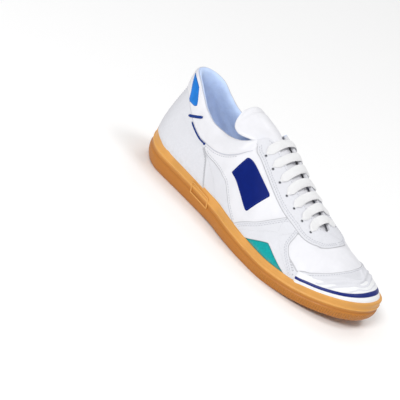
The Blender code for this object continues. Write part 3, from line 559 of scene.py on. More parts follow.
def add_piece(name, points, faces, materials, replaced=(), face_slots=None, values=None,
              recalc=True):
    """A mesh piece in the shoe's frame that rides on the one body."""
    mesh = bpy.data.meshes.new(name)
    mesh.from_pydata((np.asarray(points) - ORIGIN).tolist(), [], faces)
    for paint in materials:
        mesh.materials.append(paint)
    if face_slots is not None:
        mesh.polygons.foreach_set("material_index", np.asarray(face_slots, np.int32))
    for key, value in (values or {}).items():
        attribute = mesh.attributes.new(key, "FLOAT", "POINT")
        attribute.data.foreach_set("value", np.asarray(value, np.float32))
    if recalc:
        work = bmesh.new()
        work.from_mesh(mesh)
        bmesh.ops.remove_doubles(work, verts=work.verts, dist=0.004 * MM)
        bmesh.ops.recalc_face_normals(work, faces=work.faces)
        work.to_mesh(mesh)
        work.free()
    mesh.shade_smooth()
    obj = bpy.data.objects.new(name, mesh)
    bpy.context.scene.collection.objects.link(obj)
    if replaced:
        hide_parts(*replaced)
    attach(obj, "root")
    return obj


def grid_faces(rows, columns, closed, start=0):
    last = columns if closed else columns - 1
    i, j = np.meshgrid(np.arange(rows - 1), np.arange(last), indexing="ij")
    a, b = i * columns + j, i * columns + (j + 1) % columns
    return (np.stack([a, b, b + columns, a + columns], -1).reshape(-1, 4) + start).tolist()


def tube(rings):
    """Points and faces of a closed tube through rings of points, with capped ends."""
    rings = np.stack(rings)
    count = rings.shape[1]
    last = (len(rings) - 1) * count
    faces = grid_faces(len(rings), count, True)
    faces += [list(range(count))[::-1], list(range(last, last + count))]
    return rings.reshape(-1, 3), faces


def turns(count):
    return np.linspace(0, 2 * math.pi, count + 1)[:-1]


def fuller(wave, power):
    """A sine or cosine drawn toward a square wave."""
    return np.sign(wave) * np.abs(wave) ** power


def across_line(line, ups):
    """Unit directions along a line and across it, where ups stand out of the surface."""
    way = np.gradient(line, axis=0)
    way /= np.linalg.norm(way, axis=1, keepdims=True)
    out = np.cross(ups, way)
    return way, out / np.linalg.norm(out, axis=1, keepdims=True)


def joined(parts):
    """One list of points and faces out of several."""
    points, faces, start = [], [], 0
    for p, f in parts:
        points.append(p)
        faces += [[v + start for v in face] for face in f]
        start += len(p)
    return np.concatenate(points), faces


def run_along(line):
    """Distance from a line's start to each of its points."""
    return np.concatenate([[0], np.cumsum(np.linalg.norm(np.diff(line, axis=0), axis=1))])


def resampled(line, normals, pitch):
    run = run_along(line)
    at = np.linspace(0, run[-1], max(2, int(run[-1] / pitch)) + 1)
    both = np.hstack([line, normals])
    even = np.stack([np.interp(at, run, both[:, i]) for i in range(6)], -1)
    return even[:, :3], even[:, 3:]


STITCH_PITCH = 2.6 * MM
STITCH_RADIUS = 0.32 * MM
# One thread: share of its length, lift and size in shares of its radius
STITCH_SHAPE = ((0.10, -0.9, 0.5), (0.22, 0.1, 0.95), (0.5, 0.35, 1.0), (0.78, 0.1, 0.95), (0.90, -0.9, 0.5))


def stitches(line, normals, pitch=STITCH_PITCH, radius=STITCH_RADIUS):
    """A row of short threads, each dipping into the surface at both ends."""
    points, ups = resampled(line, normals, pitch)
    parts = []
    turn = turns(6)
    for a, b, up in zip(points, points[1:], ups):
        way = (b - a) / max(np.linalg.norm(b - a), 1e-9)
        out = np.cross(way, up)
        out /= max(np.linalg.norm(out), 1e-9)
        up = np.cross(out, way)
        circle = np.cos(turn)[:, None] * out + np.sin(turn)[:, None] * up
        parts.append(tube([a + (b - a) * share + up * lift * radius + radius * size * circle
                           for share, lift, size in STITCH_SHAPE]))
    return joined(parts)


def shifted(line, side, gap):
    """The same (share, t) line moved sideways over the last by gap; more than 0 to its left as drawn."""
    line = np.asarray(line, float)
    normal = last_normal(ring_of(line[:, 0], side), line[:, 1])
    _, out = across_line(on_last(line, side), normal)
    du, dt = 0.002, 0.01
    pu = (on_last(line + [du, 0], side) - on_last(line - [du, 0], side)) / (2 * du)
    pt = (on_last(line + [0, dt], side) - on_last(np.maximum(line - [0, dt], 0), side)) / (2 * dt)
    moved = [np.linalg.lstsq(np.stack([a, b], 1), want, rcond=None)[0]
             for a, b, want in zip(pu, pt, out * gap)]
    return line + np.array(moved)


# Materials

class Paint:
    """A Principled material with a few helpers for its nodes."""

    def __init__(self, name, colour, roughness, coat=0.0, sheen=0.0, specular=0.5):
        self.material = bpy.data.materials.new(name)
        self.material.use_nodes = True
        self.tree = self.material.node_tree
        self.shader = self.tree.nodes["Principled BSDF"]
        self.shader.inputs["Base Color"].default_value = tuple(colour) + (1.0,)
        for key, number in (("Roughness", roughness), ("Coat Weight", coat), ("Coat Roughness", 0.25),
                            ("Sheen Weight", sheen), ("Specular IOR Level", specular)):
            self.shader.inputs[key].default_value = number
        self.place = self.tree.nodes.new("ShaderNodeTexCoord").outputs["Object"]
        self.normal = None

    def feed(self, socket, value):
        if isinstance(value, bpy.types.NodeSocket):
            self.tree.links.new(value, socket)
        elif isinstance(value, tuple):
            socket.default_value = value + (1.0,)
        else:
            socket.default_value = value

    def noise(self, size, detail=3.0, rough=0.55):
        node = self.tree.nodes.new("ShaderNodeTexNoise")
        self.feed(node.inputs["Vector"], self.place)
        node.inputs["Scale"].default_value = 1 / size
        node.inputs["Detail"].default_value = detail
        node.inputs["Roughness"].default_value = rough
        return node.outputs[0]

    def cells(self, size):
        node = self.tree.nodes.new("ShaderNodeTexVoronoi")
        self.feed(node.inputs["Vector"], self.place)
        node.inputs["Scale"].default_value = 1 / size
        return node.outputs["Distance"]

    def value(self, name):
        node = self.tree.nodes.new("ShaderNodeAttribute")
        node.attribute_name = name
        return node.outputs["Fac"]

    def spread(self, value, low, high, to_low=0.0, to_high=1.0):
        node = self.tree.nodes.new("ShaderNodeMapRange")
        node.interpolation_type = "SMOOTHSTEP"
        self.feed(node.inputs["Value"], value)
        for key, number in (("From Min", low), ("From Max", high), ("To Min", to_low), ("To Max", to_high)):
            node.inputs[key].default_value = number
        return node.outputs["Result"]

    def sum(self, kind, a, b=0.0):
        node = self.tree.nodes.new("ShaderNodeMath")
        node.operation = kind
        self.feed(node.inputs[0], a)
        self.feed(node.inputs[1], b)
        return node.outputs[0]

    def mix(self, share, a, b, kind="MIX"):
        node = self.tree.nodes.new("ShaderNodeMix")
        node.data_type = "RGBA"
        node.blend_type = kind
        self.feed(node.inputs["Factor"], share)
        self.feed(node.inputs[6], a)
        self.feed(node.inputs[7], b)
        return node.outputs[2]

    def bump(self, height, distance, strength=1.0):
        node = self.tree.nodes.new("ShaderNodeBump")
        node.inputs["Distance"].default_value = distance
        node.inputs["Strength"].default_value = strength
        self.feed(node.inputs["Height"], height)
        if self.normal is not None:
            self.feed(node.inputs["Normal"], self.normal)
        self.normal = node.outputs["Normal"]

    def wave(self, name, pitch):
        return self.sum("SINE", self.sum("MULTIPLY", self.value(name), 2 * math.pi / pitch))

    def finish(self, colour, roughness=None):
        self.feed(self.shader.inputs["Base Color"], colour)
        if roughness is not None:
            self.feed(self.shader.inputs["Roughness"], roughness)
        if self.normal is not None:
            self.feed(self.shader.inputs["Normal"], self.normal)
        return self.material


LEATHER = (0.80, 0.80, 0.835)
SUEDE = (0.73, 0.735, 0.775)
TEAL = (0.001, 0.36, 0.365)
NAVY = (0.0, 0.011, 0.16)
BLUE = (0.004, 0.19, 0.66)
LINING = (0.54, 0.67, 0.93)
# painted light: a lighter copy of the lining for deep inside the shoe
LINING_DEEP_PAINTED_LIGHT = (0.60, 0.71, 0.94)
GUM = (0.70, 0.34, 0.080)
GUM_LOW = (0.49, 0.185, 0.028)
GUM_RIDGE_HIGHLIGHT = (0.80, 0.44, 0.13)
LACE = (0.90, 0.90, 0.91)
# Shares of the sole side's height: the ridge, painted lighter as a highlight, and the groove below it, painted
# darker as shade
SIDE_RIDGE = 0.655
SIDE_GROOVE = 0.47


def tint(colour, share):
    return tuple(c * share for c in colour)


def leather_paint(name):
    """Smooth full-grain leather: fine pores, soft wrinkles, a trace of wear."""
    p = Paint(name, LEATHER, 0.42, coat=0.08)
    colour = p.mix(p.spread(p.noise(18 * MM), 0.35, 0.7), LEATHER, tint(LEATHER, 0.955))
    p.bump(p.noise(3.5 * MM, 4.0), 0.25 * MM, 0.35)
    p.bump(p.cells(0.75 * MM), 0.07 * MM, 0.6)
    return p.finish(colour, p.spread(p.noise(6 * MM), 0.3, 0.7, 0.36, 0.5))


def skin_paint():
    """The upper's outer face: leather with suede and teal panels, told apart by signed distances."""
    p = Paint("upper_skin", LEATHER, 0.45, specular=0.2)
    blotch = p.noise(16 * MM)
    leather = p.mix(p.spread(blotch, 0.35, 0.7), LEATHER, tint(LEATHER, 0.95))
    nap = p.noise(2.2 * MM, 5.0, 0.7)
    suede = p.mix(p.spread(nap, 0.3, 0.72), tint(SUEDE, 0.965), tint(SUEDE, 1.03))
    suede = p.mix(p.spread(p.noise(24 * MM, 2.0), 0.35, 0.7), suede, tint(SUEDE, 0.97))
    fine = 0.12 * MM
    is_suede = p.spread(p.value("suede"), -fine, fine)
    is_teal = p.spread(p.value("window"), -fine, fine)
    colour = p.mix(is_suede, leather, suede)
    teal = p.mix(p.spread(nap, 0.3, 0.72), tint(TEAL, 0.85), tint(TEAL, 1.12))
    # painted shade: the teal darkens within 1.6 mm of the window's edge, under the overlapping suede
    teal = p.mix(p.spread(p.value("window"), 0.0, 1.6 * MM), tint(TEAL, 0.62), teal)
    colour = p.mix(is_teal, colour, teal)
    shadow = p.spread(p.sum("ABSOLUTE", p.value("edge")), 0.08 * MM, 0.55 * MM, 0.70, 1.0)
    node = p.tree.nodes.new("ShaderNodeCombineColor")
    for i in range(3):
        p.feed(node.inputs[i], shadow)
    colour = p.mix(1.0, colour, node.outputs[0], "MULTIPLY")
    # painted shade: grey darkening in the valleys between the toe guard's ridges
    colour = p.mix(p.sum("MULTIPLY", p.value("fold"), 0.5), colour, tint(SUEDE, 0.86))
    # a patchy brownish tint that fades out within 3.5 mm above the sole
    near_sole = p.spread(p.value("low"), 0.0, 3.5 * MM, 1.0, 0.0)
    near_sole_tint = p.sum("MULTIPLY", near_sole, p.spread(p.noise(5 * MM), 0.4, 0.75, 0.05, 0.25))
    colour = p.mix(near_sole_tint, colour, (0.52, 0.44, 0.34))
    p.bump(p.spread(p.value("edge"), -0.35 * MM, 0.35 * MM), 0.45 * MM, 0.7)
    p.bump(p.noise(4 * MM, 4.0), 0.22 * MM, 0.35)
    grain = p.sum("MULTIPLY", p.cells(0.8 * MM), p.sum("SUBTRACT", 1.0, is_suede))
    p.bump(grain, 0.07 * MM, 0.6)
    p.bump(p.sum("MULTIPLY", p.noise(0.6 * MM, 5.0, 0.8), is_suede), 0.14 * MM, 0.75)
    return p.finish(colour, p.spread(is_suede, 0.0, 1.0, 0.43, 0.88))


def lining_paint():
    """Woven lining cloth with soft folds, painted lighter deeper below the top line to stand in for light the
    deep cavity does not get, with a painted highlight on the fold crests.
    """
    p = Paint("lining_cloth", LINING, 0.9, sheen=0.25)
    folds = p.noise(11 * MM, 3.0)
    # painted light: the lining turns lighter with depth below the top line, standing in for light the deep
    # cavity does not get
    depth = p.spread(p.value("deep"), 3 * MM, 34 * MM)
    colour = p.mix(depth, LINING, LINING_DEEP_PAINTED_LIGHT)
    # painted highlight: the noise that raises the folds also lightens their crests
    colour = p.mix(p.spread(folds, 0.35, 0.68, 0.0, 0.35), colour, tint(LINING, 1.3))
    colour = p.mix(p.value("fore"), colour, tint(LEATHER, 0.86))
    p.bump(folds, 1.6 * MM, 0.5)
    p.bump(p.cells(0.55 * MM), 0.12 * MM, 0.8)
    return p.finish(colour)


def collar_paint():
    """Padded collar: soft smooth leather outside, with the blue piece at the heel."""
    p = Paint("collar_leather", LEATHER, 0.5, specular=0.3)
    colour = p.mix(p.spread(p.noise(14 * MM), 0.35, 0.7), LEATHER, tint(LEATHER, 0.955))
    blue = p.mix(p.spread(p.noise(7 * MM), 0.3, 0.7), tint(BLUE, 0.88), tint(BLUE, 1.1))
    blue = p.mix(p.spread(p.value("blue"), 0.0, 1.2 * MM), tint(BLUE, 0.55), blue)
    colour = p.mix(p.spread(p.value("blue"), -0.12 * MM, 0.12 * MM), colour, blue)
    line = p.spread(p.sum("ABSOLUTE", p.value("trim")), 0.25 * MM, 0.7 * MM, 0.45, 0.0)
    colour = p.mix(line, colour, (0.30, 0.33, 0.42))
    p.bump(p.noise(5 * MM, 4.0), 0.35 * MM, 0.35)
    p.bump(p.cells(0.7 * MM), 0.06 * MM, 0.6)
    return p.finish(colour)


def gum_paint():
    """Gum rubber: darker ground band, a painted highlight along the ridge and painted shade in the groove below
    it, fine ribs low at the toe.
    """
    p = Paint("gum_rubber", GUM, 0.46, coat=0.03, specular=0.35)
    cloud = p.noise(26 * MM, 3.0)
    colour = p.mix(p.spread(cloud, 0.3, 0.72), tint(GUM, 0.93), tint(GUM, 1.07))
    low = p.spread(p.value("side"), 0.52, 0.62, 1.0, 0.0)
    colour = p.mix(low, colour, GUM_LOW)
    # painted highlight: a lighter line along the ridge of the sole's side
    ridge = p.spread(p.sum("ABSOLUTE", p.sum("SUBTRACT", p.value("side"), SIDE_RIDGE)), 0.0, 0.035, 0.65, 0.0)
    colour = p.mix(ridge, colour, GUM_RIDGE_HIGHLIGHT)
    # painted shade: a dark line along the groove below the ridge
    groove = p.spread(p.sum("ABSOLUTE", p.sum("SUBTRACT", p.value("side"), SIDE_GROOVE)), 0.0, 0.03, 0.4, 0.0)
    colour = p.mix(groove, colour, (0.30, 0.11, 0.02))
    ribs_wave = p.wave("run", 2.4 * MM)
    low_edge = p.sum("MULTIPLY", p.spread(p.value("side"), 0.06, 0.12),
                     p.spread(p.value("side"), 0.34, 0.42, 1.0, 0.0))
    mask = p.sum("MULTIPLY", low_edge, p.value("ribbed"))
    p.bump(p.sum("MULTIPLY", ribs_wave, mask), 0.35 * MM, 0.8)
    p.bump(p.noise(1.2 * MM, 4.0), 0.08 * MM, 0.5)
    return p.finish(colour, p.spread(p.noise(9 * MM), 0.3, 0.7, 0.40, 0.56))


def strip_paint():
    """White foxing strip with its navy line."""
    p = Paint("toe_strip_rubber", LEATHER, 0.4, specular=0.3)
    high = p.value("up")
    line = p.sum("MULTIPLY", p.spread(high, 1.55 * MM, 1.8 * MM),
                 p.spread(high, 3.8 * MM, 4.05 * MM, 1.0, 0.0))
    colour = p.mix(p.spread(p.noise(9 * MM), 0.35, 0.7), (0.86, 0.865, 0.87), (0.80, 0.81, 0.83))
    colour = p.mix(line, colour, NAVY)
    p.bump(p.noise(1.5 * MM, 3.0), 0.05 * MM, 0.5)
    return p.finish(colour)


def lace_paint():
    """Flat woven lace: fine ribs along it, crossed by the weave."""
    p = Paint("lace_cotton", LACE, 0.85, sheen=0.2)
    weave = p.sum("MULTIPLY", p.wave("along", 0.9 * MM), p.wave("across", 0.75 * MM))
    # painted shade: the lace darkens in the dips of the same weave that drives its bump
    colour = p.mix(p.spread(weave, -1.0, 1.0), tint(LACE, 0.93), LACE)
    p.bump(weave, 0.14 * MM, 0.8)
    p.bump(p.noise(2.5 * MM, 3.0), 0.2 * MM, 0.4)
    return p.finish(colour)


def plain_paint(name, colour, roughness, grain=0.6 * MM, depth=0.05 * MM):
    p = Paint(name, colour, roughness, specular=0.12)
    mixed = p.mix(p.spread(p.noise(4 * MM), 0.3, 0.7), tint(colour, 0.9), colour)
    p.bump(p.noise(grain, 3.0), depth, 0.6)
    return p.finish(mixed)


SKIN = skin_paint()
LEATHER_PAINT = leather_paint("tongue_leather")
LINING_PAINT = lining_paint()
COLLAR_PAINT = collar_paint()
GUM_PAINT = gum_paint()
STRIP_PAINT = strip_paint()
LACE_PAINT = lace_paint()
THREAD_PAINT = plain_paint("thread_white", (0.60, 0.61, 0.65), 0.7, 0.3 * MM)
NAVY_PAINT = plain_paint("piping_navy", (0.012, 0.04, 0.22), 0.5)
PATCH_PAINT = plain_paint("patch_navy", NAVY, 0.55, 0.9 * MM, 0.09 * MM)
NAVY_THREAD = plain_paint("thread_navy", (0.02, 0.045, 0.30), 0.7, 0.3 * MM)
# painted shade: near-black for the shaded middle of each lace hole
HOLE_SHADE_PAINT = plain_paint("eyelet_painted_shade", (0.07, 0.07, 0.08), 0.8)
FOAM_PAINT = plain_paint("insole_cloth", (0.70, 0.78, 0.93), 0.95, 0.5 * MM, 0.12 * MM)


# Upper

FINE = 8
UPPER_ROWS = 112


def build_upper():
    columns = RING * FINE
    step = np.arange(columns) / FINE
    low = t_above_rim(step, -2.5 * MM)
    share = np.linspace(0, 1, UPPER_ROWS)[:, None]
    t = low + (1 - low) * share
    steps = np.broadcast_to(step, t.shape)
    found, points, rib = panels(steps, t)
    rise = relief(steps, t, found, points)
    normal = last_normal(steps.ravel(), t.ravel())
    outer = points + normal * rise[:, None]
    rows = 14
    inner_t = (np.linspace(0, 1, rows)[:, None] + 0 * step).ravel()
    inner_steps = np.tile(step, rows)
    inner_points = last_point(inner_steps, inner_t)
    inner = inner_points - last_normal(inner_steps, inner_t) * UPPER_WALL
    inner_rib = ribs(inner_steps)
    saddle = np.minimum(found["saddle"], -found["window"])
    suede = np.maximum.reduce([found["counter"], found["quarter"], saddle, found["eyestay"], found["guard"]])
    edges = np.stack([found[key] for key in ("counter", "quarter", "saddle", "window", "eyestay", "guard")])
    covered = np.maximum(found["eyestay"], found["guard"]) > 0.6 * MM
    edges[:4] = np.where(covered, 0.05, edges[:4])
    edge = edges[np.argmin(np.abs(edges), axis=0), np.arange(edges.shape[1])]

    def both(outside, inside_value):
        return np.concatenate([outside, np.broadcast_to(inside_value, len(inner))])

    values = {
        "suede": both(suede, -1.0),
        "window": both(found["window"], -1.0),
        "edge": both(edge, 1.0),
        "low": both(points[:, 2] - rib["rim"], 1.0),
        "fold": both(fold_share(points, found), 0.0),
        "deep": both(0 * edge, inner_rib["top"] - inner_points[:, 2]),
        "fore": both(smooth(0.385, 0.41, rib["share"]), smooth(0.385, 0.41, inner_rib["share"])),
    }
    faces = grid_faces(UPPER_ROWS, columns, True)
    outer_count = len(faces)
    start = UPPER_ROWS * columns
    faces += [face[::-1] for face in grid_faces(rows, columns, True, start)]
    a, b = start - columns, start + (rows - 1) * columns
    open_top = ribs(step)["share"] < THROAT_END
    for j in range(columns):
        k = (j + 1) % columns
        if open_top[j] or open_top[k]:
            faces.append([a + j, a + k, b + k, b + j])
    slots = (np.arange(len(faces)) >= outer_count).astype(int)
    replaced = ["upper", "eyestay", "heel_counter", "toe_guard"]
    replaced += [word + side for word in ("quarter_", "saddle_", "window_") for side in ("outer", "inner")]
    add_piece("upper_leather", np.concatenate([outer, inner]), faces, [SKIN, LINING_PAINT],
              replaced, slots, values)


# The patch's section from its edge to its middle: size as a share, height over the leather in millimetres
PATCH_ROWS = (
    (1.0, -0.4), (1.0, 0.25), (0.992, 0.45), (0.98, 0.52), (0.955, 0.50), (0.94, 0.40), (0.925, 0.48),
    (0.9, 0.52), (0.8, 0.52), (0.65, 0.52), (0.5, 0.52), (0.35, 0.52), (0.2, 0.52), (0.01, 0.52),
)
PATCH_ROUND = 0.09
PATCH_SEAM = 0.94


def patch_outline(corners):
    """The patch's outline with rounded corners, as (share, t) points."""
    line = []
    for before, corner, after in zip(np.roll(corners, 1, 0), corners, np.roll(corners, -1, 0)):
        a = corner + (before - corner) * PATCH_ROUND
        b = corner + (after - corner) * PATCH_ROUND
        end = after + (corner - after) * PATCH_ROUND
        line += [a * (1 - k) ** 2 + 2 * corner * k * (1 - k) + b * k ** 2 for k in np.linspace(0, 1, 9)]
        line += [b + (end - b) * k for k in np.linspace(0, 1, 36)[1:-1]]
    return np.array(line)


def build_patches():
    """The plain navy patch on each side, with its own row of stitches."""
    parts, threads = [], []
    corners = np.array(SIDE_PATCH)
    middle = corners.mean(axis=0)
    outline = patch_outline(corners) - middle
    count = len(outline)
    for side in (-1, 1):
        def placed(size, out, side=side):
            line = middle + outline * size
            return finished_point(ring_of(line[:, 0], side), line[:, 1], out * MM)

        rows = [placed(size, out)[0] for size, out in PATCH_ROWS]
        faces = grid_faces(len(rows), count, True)
        faces.append(list(range((len(rows) - 1) * count, len(rows) * count)))
        parts.append((np.concatenate(rows), faces))
        point, normal = (np.concatenate([a, a[:1]]) for a in placed(PATCH_SEAM, 0.42))
        threads.append(stitches(point, normal, 2.2 * MM, 0.26 * MM))
    points, faces = joined(parts)
    add_piece("side_patches", points, faces, [PATCH_PAINT],
              ("side_patch_outer", "side_patch_inner"))
    points, faces = joined(threads)
    add_piece("patch_threads", points, faces, [NAVY_THREAD], recalc=False)


# Collar in millimetres, from the foot outside over the top: distance below the top line, out from the last, lift
COLLAR_PROFILE = (
    (19.8, 0.10, 0.0), (19.2, 1.10, 0.0), (17.4, 2.10, 0.0), (14.0, 2.85, 0.0), (10.0, 3.10, 0.0),
    (6.0, 2.90, 0.0), (3.0, 2.30, 0.0), (1.2, 1.50, 0.2), (0.2, 0.20, 0.7), (0.0, -1.60, 0.9),
    (0.6, -3.60, 0.3), (2.4, -4.90, 0.0), (6.0, -5.50, 0.0), (11.0, -5.60, 0.0), (17.0, -5.50, 0.0),
    (25.0, -5.60, 0.0), (36.0, -6.20, 0.0), (47.0, -6.80, 0.0), (58.0, -6.60, 0.0), (66.0, -5.60, 0.0),
    (75.0, -4.00, 0.0),
)
COLLAR_TOP_ROW = 9
PROFILE_PIECES = 3
STEP_RUN = 7.5 * MM
# Edges of the blue piece: millimetres below the top line and share of LENGTH
BLUE_FRONT = ((0.0, 0.062), (4.0, 0.090), (8.0, 0.113), (12.0, 0.104), (17.5, 0.074))
BLUE_BACK = ((0.0, 0.010), (6.0, 0.032), (12.0, 0.050), (17.5, 0.062))


def collar_rows(steps, profile):
    """Rows of points over the collar at the given ring numbers, and their normals."""
    fade = 1 - smooth(0.366, COLLAR_FRONT - 0.002, ribs(steps)["share"])
    rows, ups = [], []
    for below, out, lift in profile:
        t = t_below_top(steps, below * MM)
        normal = last_normal(steps, t)
        full = out * MM
        least = 0.25 * MM if out > 0 else -(UPPER_WALL + 0.3 * MM) if out < -2 else full
        amount = least + (full - least) * fade
        rows.append(last_point(steps, t) + normal * amount[:, None]
                    + np.array([0, 0, 1]) * (lift * MM * fade)[:, None])
        ups.append(normal)
    return np.stack(rows), np.stack(ups)


def build_collar():
    front = float(station_of(COLLAR_FRONT))
    steps = np.linspace(-front, front, 2 * int(front * FINE) + 1)
    profile = rounded(COLLAR_PROFILE, PROFILE_PIECES)
    points, normals = collar_rows(steps, profile)
    rows, columns = points.shape[:2]
    below, outward = profile[:, :1], profile[:, 1:2] > 0
    top_row = COLLAR_TOP_ROW * PROFILE_PIECES
    row = np.arange(rows)[:, None]

    def blue_edge(table):
        return station_of(np.interp(below, [place for place, _ in table], [share for _, share in table]))

    ahead = (blue_edge(BLUE_FRONT) - np.abs(steps)) * STEP_RUN
    past = (np.abs(steps) - blue_edge(BLUE_BACK)) * STEP_RUN
    blue = np.minimum(np.minimum(ahead, past), np.minimum(below - 1.2, 18.2 - below) * MM)
    blue = np.where(row >= top_row - 3, -1.0, blue)
    points = points + normals * edge_step(blue, 0.5 * MM, 0.6 * MM)[..., None]
    wave = 0.35 * MM * np.sin(steps * 2.3 + 0.6) * np.exp(-((below - 9) / 5) ** 2) * outward
    points = points + normals * wave[..., None]
    folds = 0.6 * MM * np.sin(0.28 * below + 1.15 * steps + 0.9 * np.sin(0.5 * steps))
    folds = folds * smooth(9, 24, below) * (1 - smooth(48, 64, below)) * (row > top_row)
    points = points + normals * folds[..., None]
    trim = np.where(row > top_row, 1.0, (below - 19.0) * MM)
    trim_top = (row - (top_row - 1)) * 0.35 * MM
    trim = np.where(np.abs(trim_top) < np.abs(trim), trim_top, trim)
    values = {
        "blue": blue,
        "trim": trim,
        "deep": np.where(row > top_row, below, 0) * MM,
        "fore": smooth(0.33, 0.37, ribs(steps)["share"]),
    }
    values = {key: np.broadcast_to(value, (rows, columns)).ravel() for key, value in values.items()}
    slots = np.repeat((np.arange(rows - 1) >= top_row).astype(int), columns - 1)
    obj = add_piece("collar_padding", points.reshape(-1, 3), grid_faces(rows, columns, False),
                    [COLLAR_PAINT, LINING_PAINT], ("collar_cuff", "heel_patch"),
                    slots, values)


# Tongue

TONGUE_GAP = 1.4 * MM
TONGUE_RAISE = 2.2 * MM
TONGUE_COLUMNS = ("along", "lift", "half", "wall")
TONGUE = (
    (0.00, 0.0 * MM, 10 * MM, 2.5 * MM),
    (0.10, 0.0 * MM, 16 * MM, 3.0 * MM),
    (0.35, 0.0 * MM, 21 * MM, 3.5 * MM),
    (0.60, 0.0 * MM, 22 * MM, 4.0 * MM),
    (0.70, 0.0 * MM, 19 * MM, 4.5 * MM),
    (0.77, 0.0 * MM, 18 * MM, 5.0 * MM),
    (0.84, 1.5 * MM, 24 * MM, 7.0 * MM),
    (0.92, 2.2 * MM, 29 * MM, 8.0 * MM),
    (0.98, 2.5 * MM, 28 * MM, 6.5 * MM),
    (1.00, 2.5 * MM, 22 * MM, 3.5 * MM),
)
TONGUE_FRONT = 0.850
TONGUE_BACK = 0.400
TONGUE_FREE = 38 * MM
TONGUE_FREE_RISE = 7.0 * MM
TONGUE_ROUND = 20 * MM


def spine_point(share):
    steps = station_of(share)
    ends = [last_point(ring, 1.0 + 0 * steps) for ring in (steps, RING - steps)]
    return (ends[0] + ends[1]) / 2


def tongue_line(along):
    along = np.asarray(along, float)
    free_start = 1 - TONGUE_FREE / (TONGUE_FREE + (TONGUE_FRONT - TONGUE_BACK) * LENGTH)
    under = np.clip(along / free_start, 0, 1)
    share = TONGUE_FRONT + (TONGUE_BACK - TONGUE_FRONT) * under
    point = spine_point(share)
    point[..., 2] -= UPPER_WALL + TONGUE_GAP - TONGUE_RAISE * (1 - smooth(0.755, 0.80, share))
    past = np.clip((along - free_start) / (1 - free_start), 0, 1)
    point[..., 0] -= TONGUE_FREE * past
    point[..., 2] += TONGUE_FREE_RISE * past * (1.25 - 0.25 * past)
    return point


def build_tongue():
    along = 1 - (1 - np.linspace(0, 1, 84)) ** 1.35
    middle = tongue_line(along)
    middle[:, 2] += column(TONGUE, TONGUE_COLUMNS, "lift", along)
    half = column(TONGUE, TONGUE_COLUMNS, "half", np.minimum(along, 0.985))
    tip = np.clip((along - 0.93) / 0.07, 0, 1)
    half = half * np.sqrt(1 - 0.72 * tip ** 3)
    wall = column(TONGUE, TONGUE_COLUMNS, "wall", along) * (1 - 0.35 * tip ** 4)
    for _ in range(3):
        middle[1:-1] = (middle[:-2] + 2 * middle[1:-1] + middle[2:]) / 4
    turn = turns(48)
    rings = []
    for point, reach, thick, at in zip(middle, half, wall, along):
        y = reach * fuller(np.cos(turn), 0.85)
        arch = y ** 2 / (2 * (TONGUE_ROUND + 2 * MM + 11 * MM * smooth(0.70, 0.84, at)))
        edge = np.clip(1 - np.abs(y / reach) ** 5, 0, 1) ** 0.5
        body = fuller(np.sin(turn), 0.4)
        from_edge = reach - np.abs(y)
        free = smooth(0.74, 0.82, at)
        groove = 0.9 * MM * np.exp(-((from_edge - 4.2 * MM) / (1.1 * MM)) ** 2) * (np.sin(turn) > 0) * free
        end_gap = (1 - at) * 150 * MM
        groove = np.maximum(groove, 0.9 * MM * math.exp(-((end_gap - 5 * MM) / (1.2 * MM)) ** 2)
                            * (np.sin(turn) > 0) * (from_edge > 4.2 * MM))
        fat = thick * (0.5 + 0.5 * edge)
        z = point[2] - arch - fat / 2 + fat / 2 * body - groove
        rings.append(np.stack([np.full(len(turn), point[0]), point[1] + y, z], -1))
    points, faces = tube(rings)
    obj = add_piece("tongue_padding", points, faces, [LEATHER_PAINT], ("tongue",))


# Laces and their holes

def bar_path(share, skew):
    """Middle line of one lace bar and its normals, from the outer eyelet to the inner one."""
    runs = EYELET_RUN - np.array([-0.2, 0.3, 1.3, 3.0, 6.0, 9.0, 12.0]) * MM
    outs = np.array([-1.6, -0.3, 0.75, 0.95, 0.9, 0.9, 1.0]) * MM
    halves = []
    for side in (-1, 1):
        at = share + side * skew * (runs / EYELET_RUN)
        step = ring_of(at, side)
        t = t_below_top(step, runs)
        halves.append(finished_point(step, t, outs))
    (left, left_up), (right, right_up) = halves
    k = np.array([0.22, 0.5, 0.78])[:, None]
    arch = left[-1] + (right[-1] - left[-1]) * k + np.array([0, 0, 1]) * 4 * k * (1 - k) * 2.3 * MM
    arch_up = left_up[-1] + (right_up[-1] - left_up[-1]) * k
    line = np.concatenate([left, arch, right[::-1]])
    ups = np.concatenate([left_up, arch_up, right_up[::-1]])
    both = rounded(np.hstack([line, ups]), 4)
    return both[:, :3], both[:, 3:] / np.linalg.norm(both[:, 3:], axis=1, keepdims=True)


def build_laces():
    parts, along_all, across_all = [], [], []
    turn = turns(18)
    a, b = fuller(np.cos(turn), 0.8), fuller(np.sin(turn), 0.6)
    for i, share in enumerate(EYELETS):
        line, ups = bar_path(share, rng.uniform(-0.002, 0.002) + 0.002)
        run = run_along(line)
        q = run / run[-1]
        width = LACE_WIDTH * (0.34 + 0.66 * smooth(0.015, 0.15, q) * smooth(0.015, 0.15, 1 - q))
        width *= 1 + 0.05 * np.sin(q * 9 + i * 1.7)
        sway = 0.55 * MM * np.sin(q * 5.2 + i * 2.1)
        twist = 0.10 * np.sin(q * 7.0 + i * 1.3)
        way, out = across_line(line, ups)
        up = np.cross(way, out)
        y = a * width[:, None] / 2
        z = b * LACE_WALL / 2 * (1 - 0.35 * a ** 4) - 0.5 * MM * a ** 2 + 0.25 * MM + y * twist[:, None]
        sideways = (y + sway[:, None])[..., None] * out[:, None]
        parts.append(tube(line[:, None] + sideways + z[..., None] * up[:, None]))
        along_all.append(np.repeat(run, len(turn)))
        across_all.append(y.ravel())
    points, faces = joined(parts)
    add_piece("lace_flat", points, faces, [LACE_PAINT], ("laces",), recalc=False,
              values={"along": np.concatenate(along_all), "across": np.concatenate(across_all)})


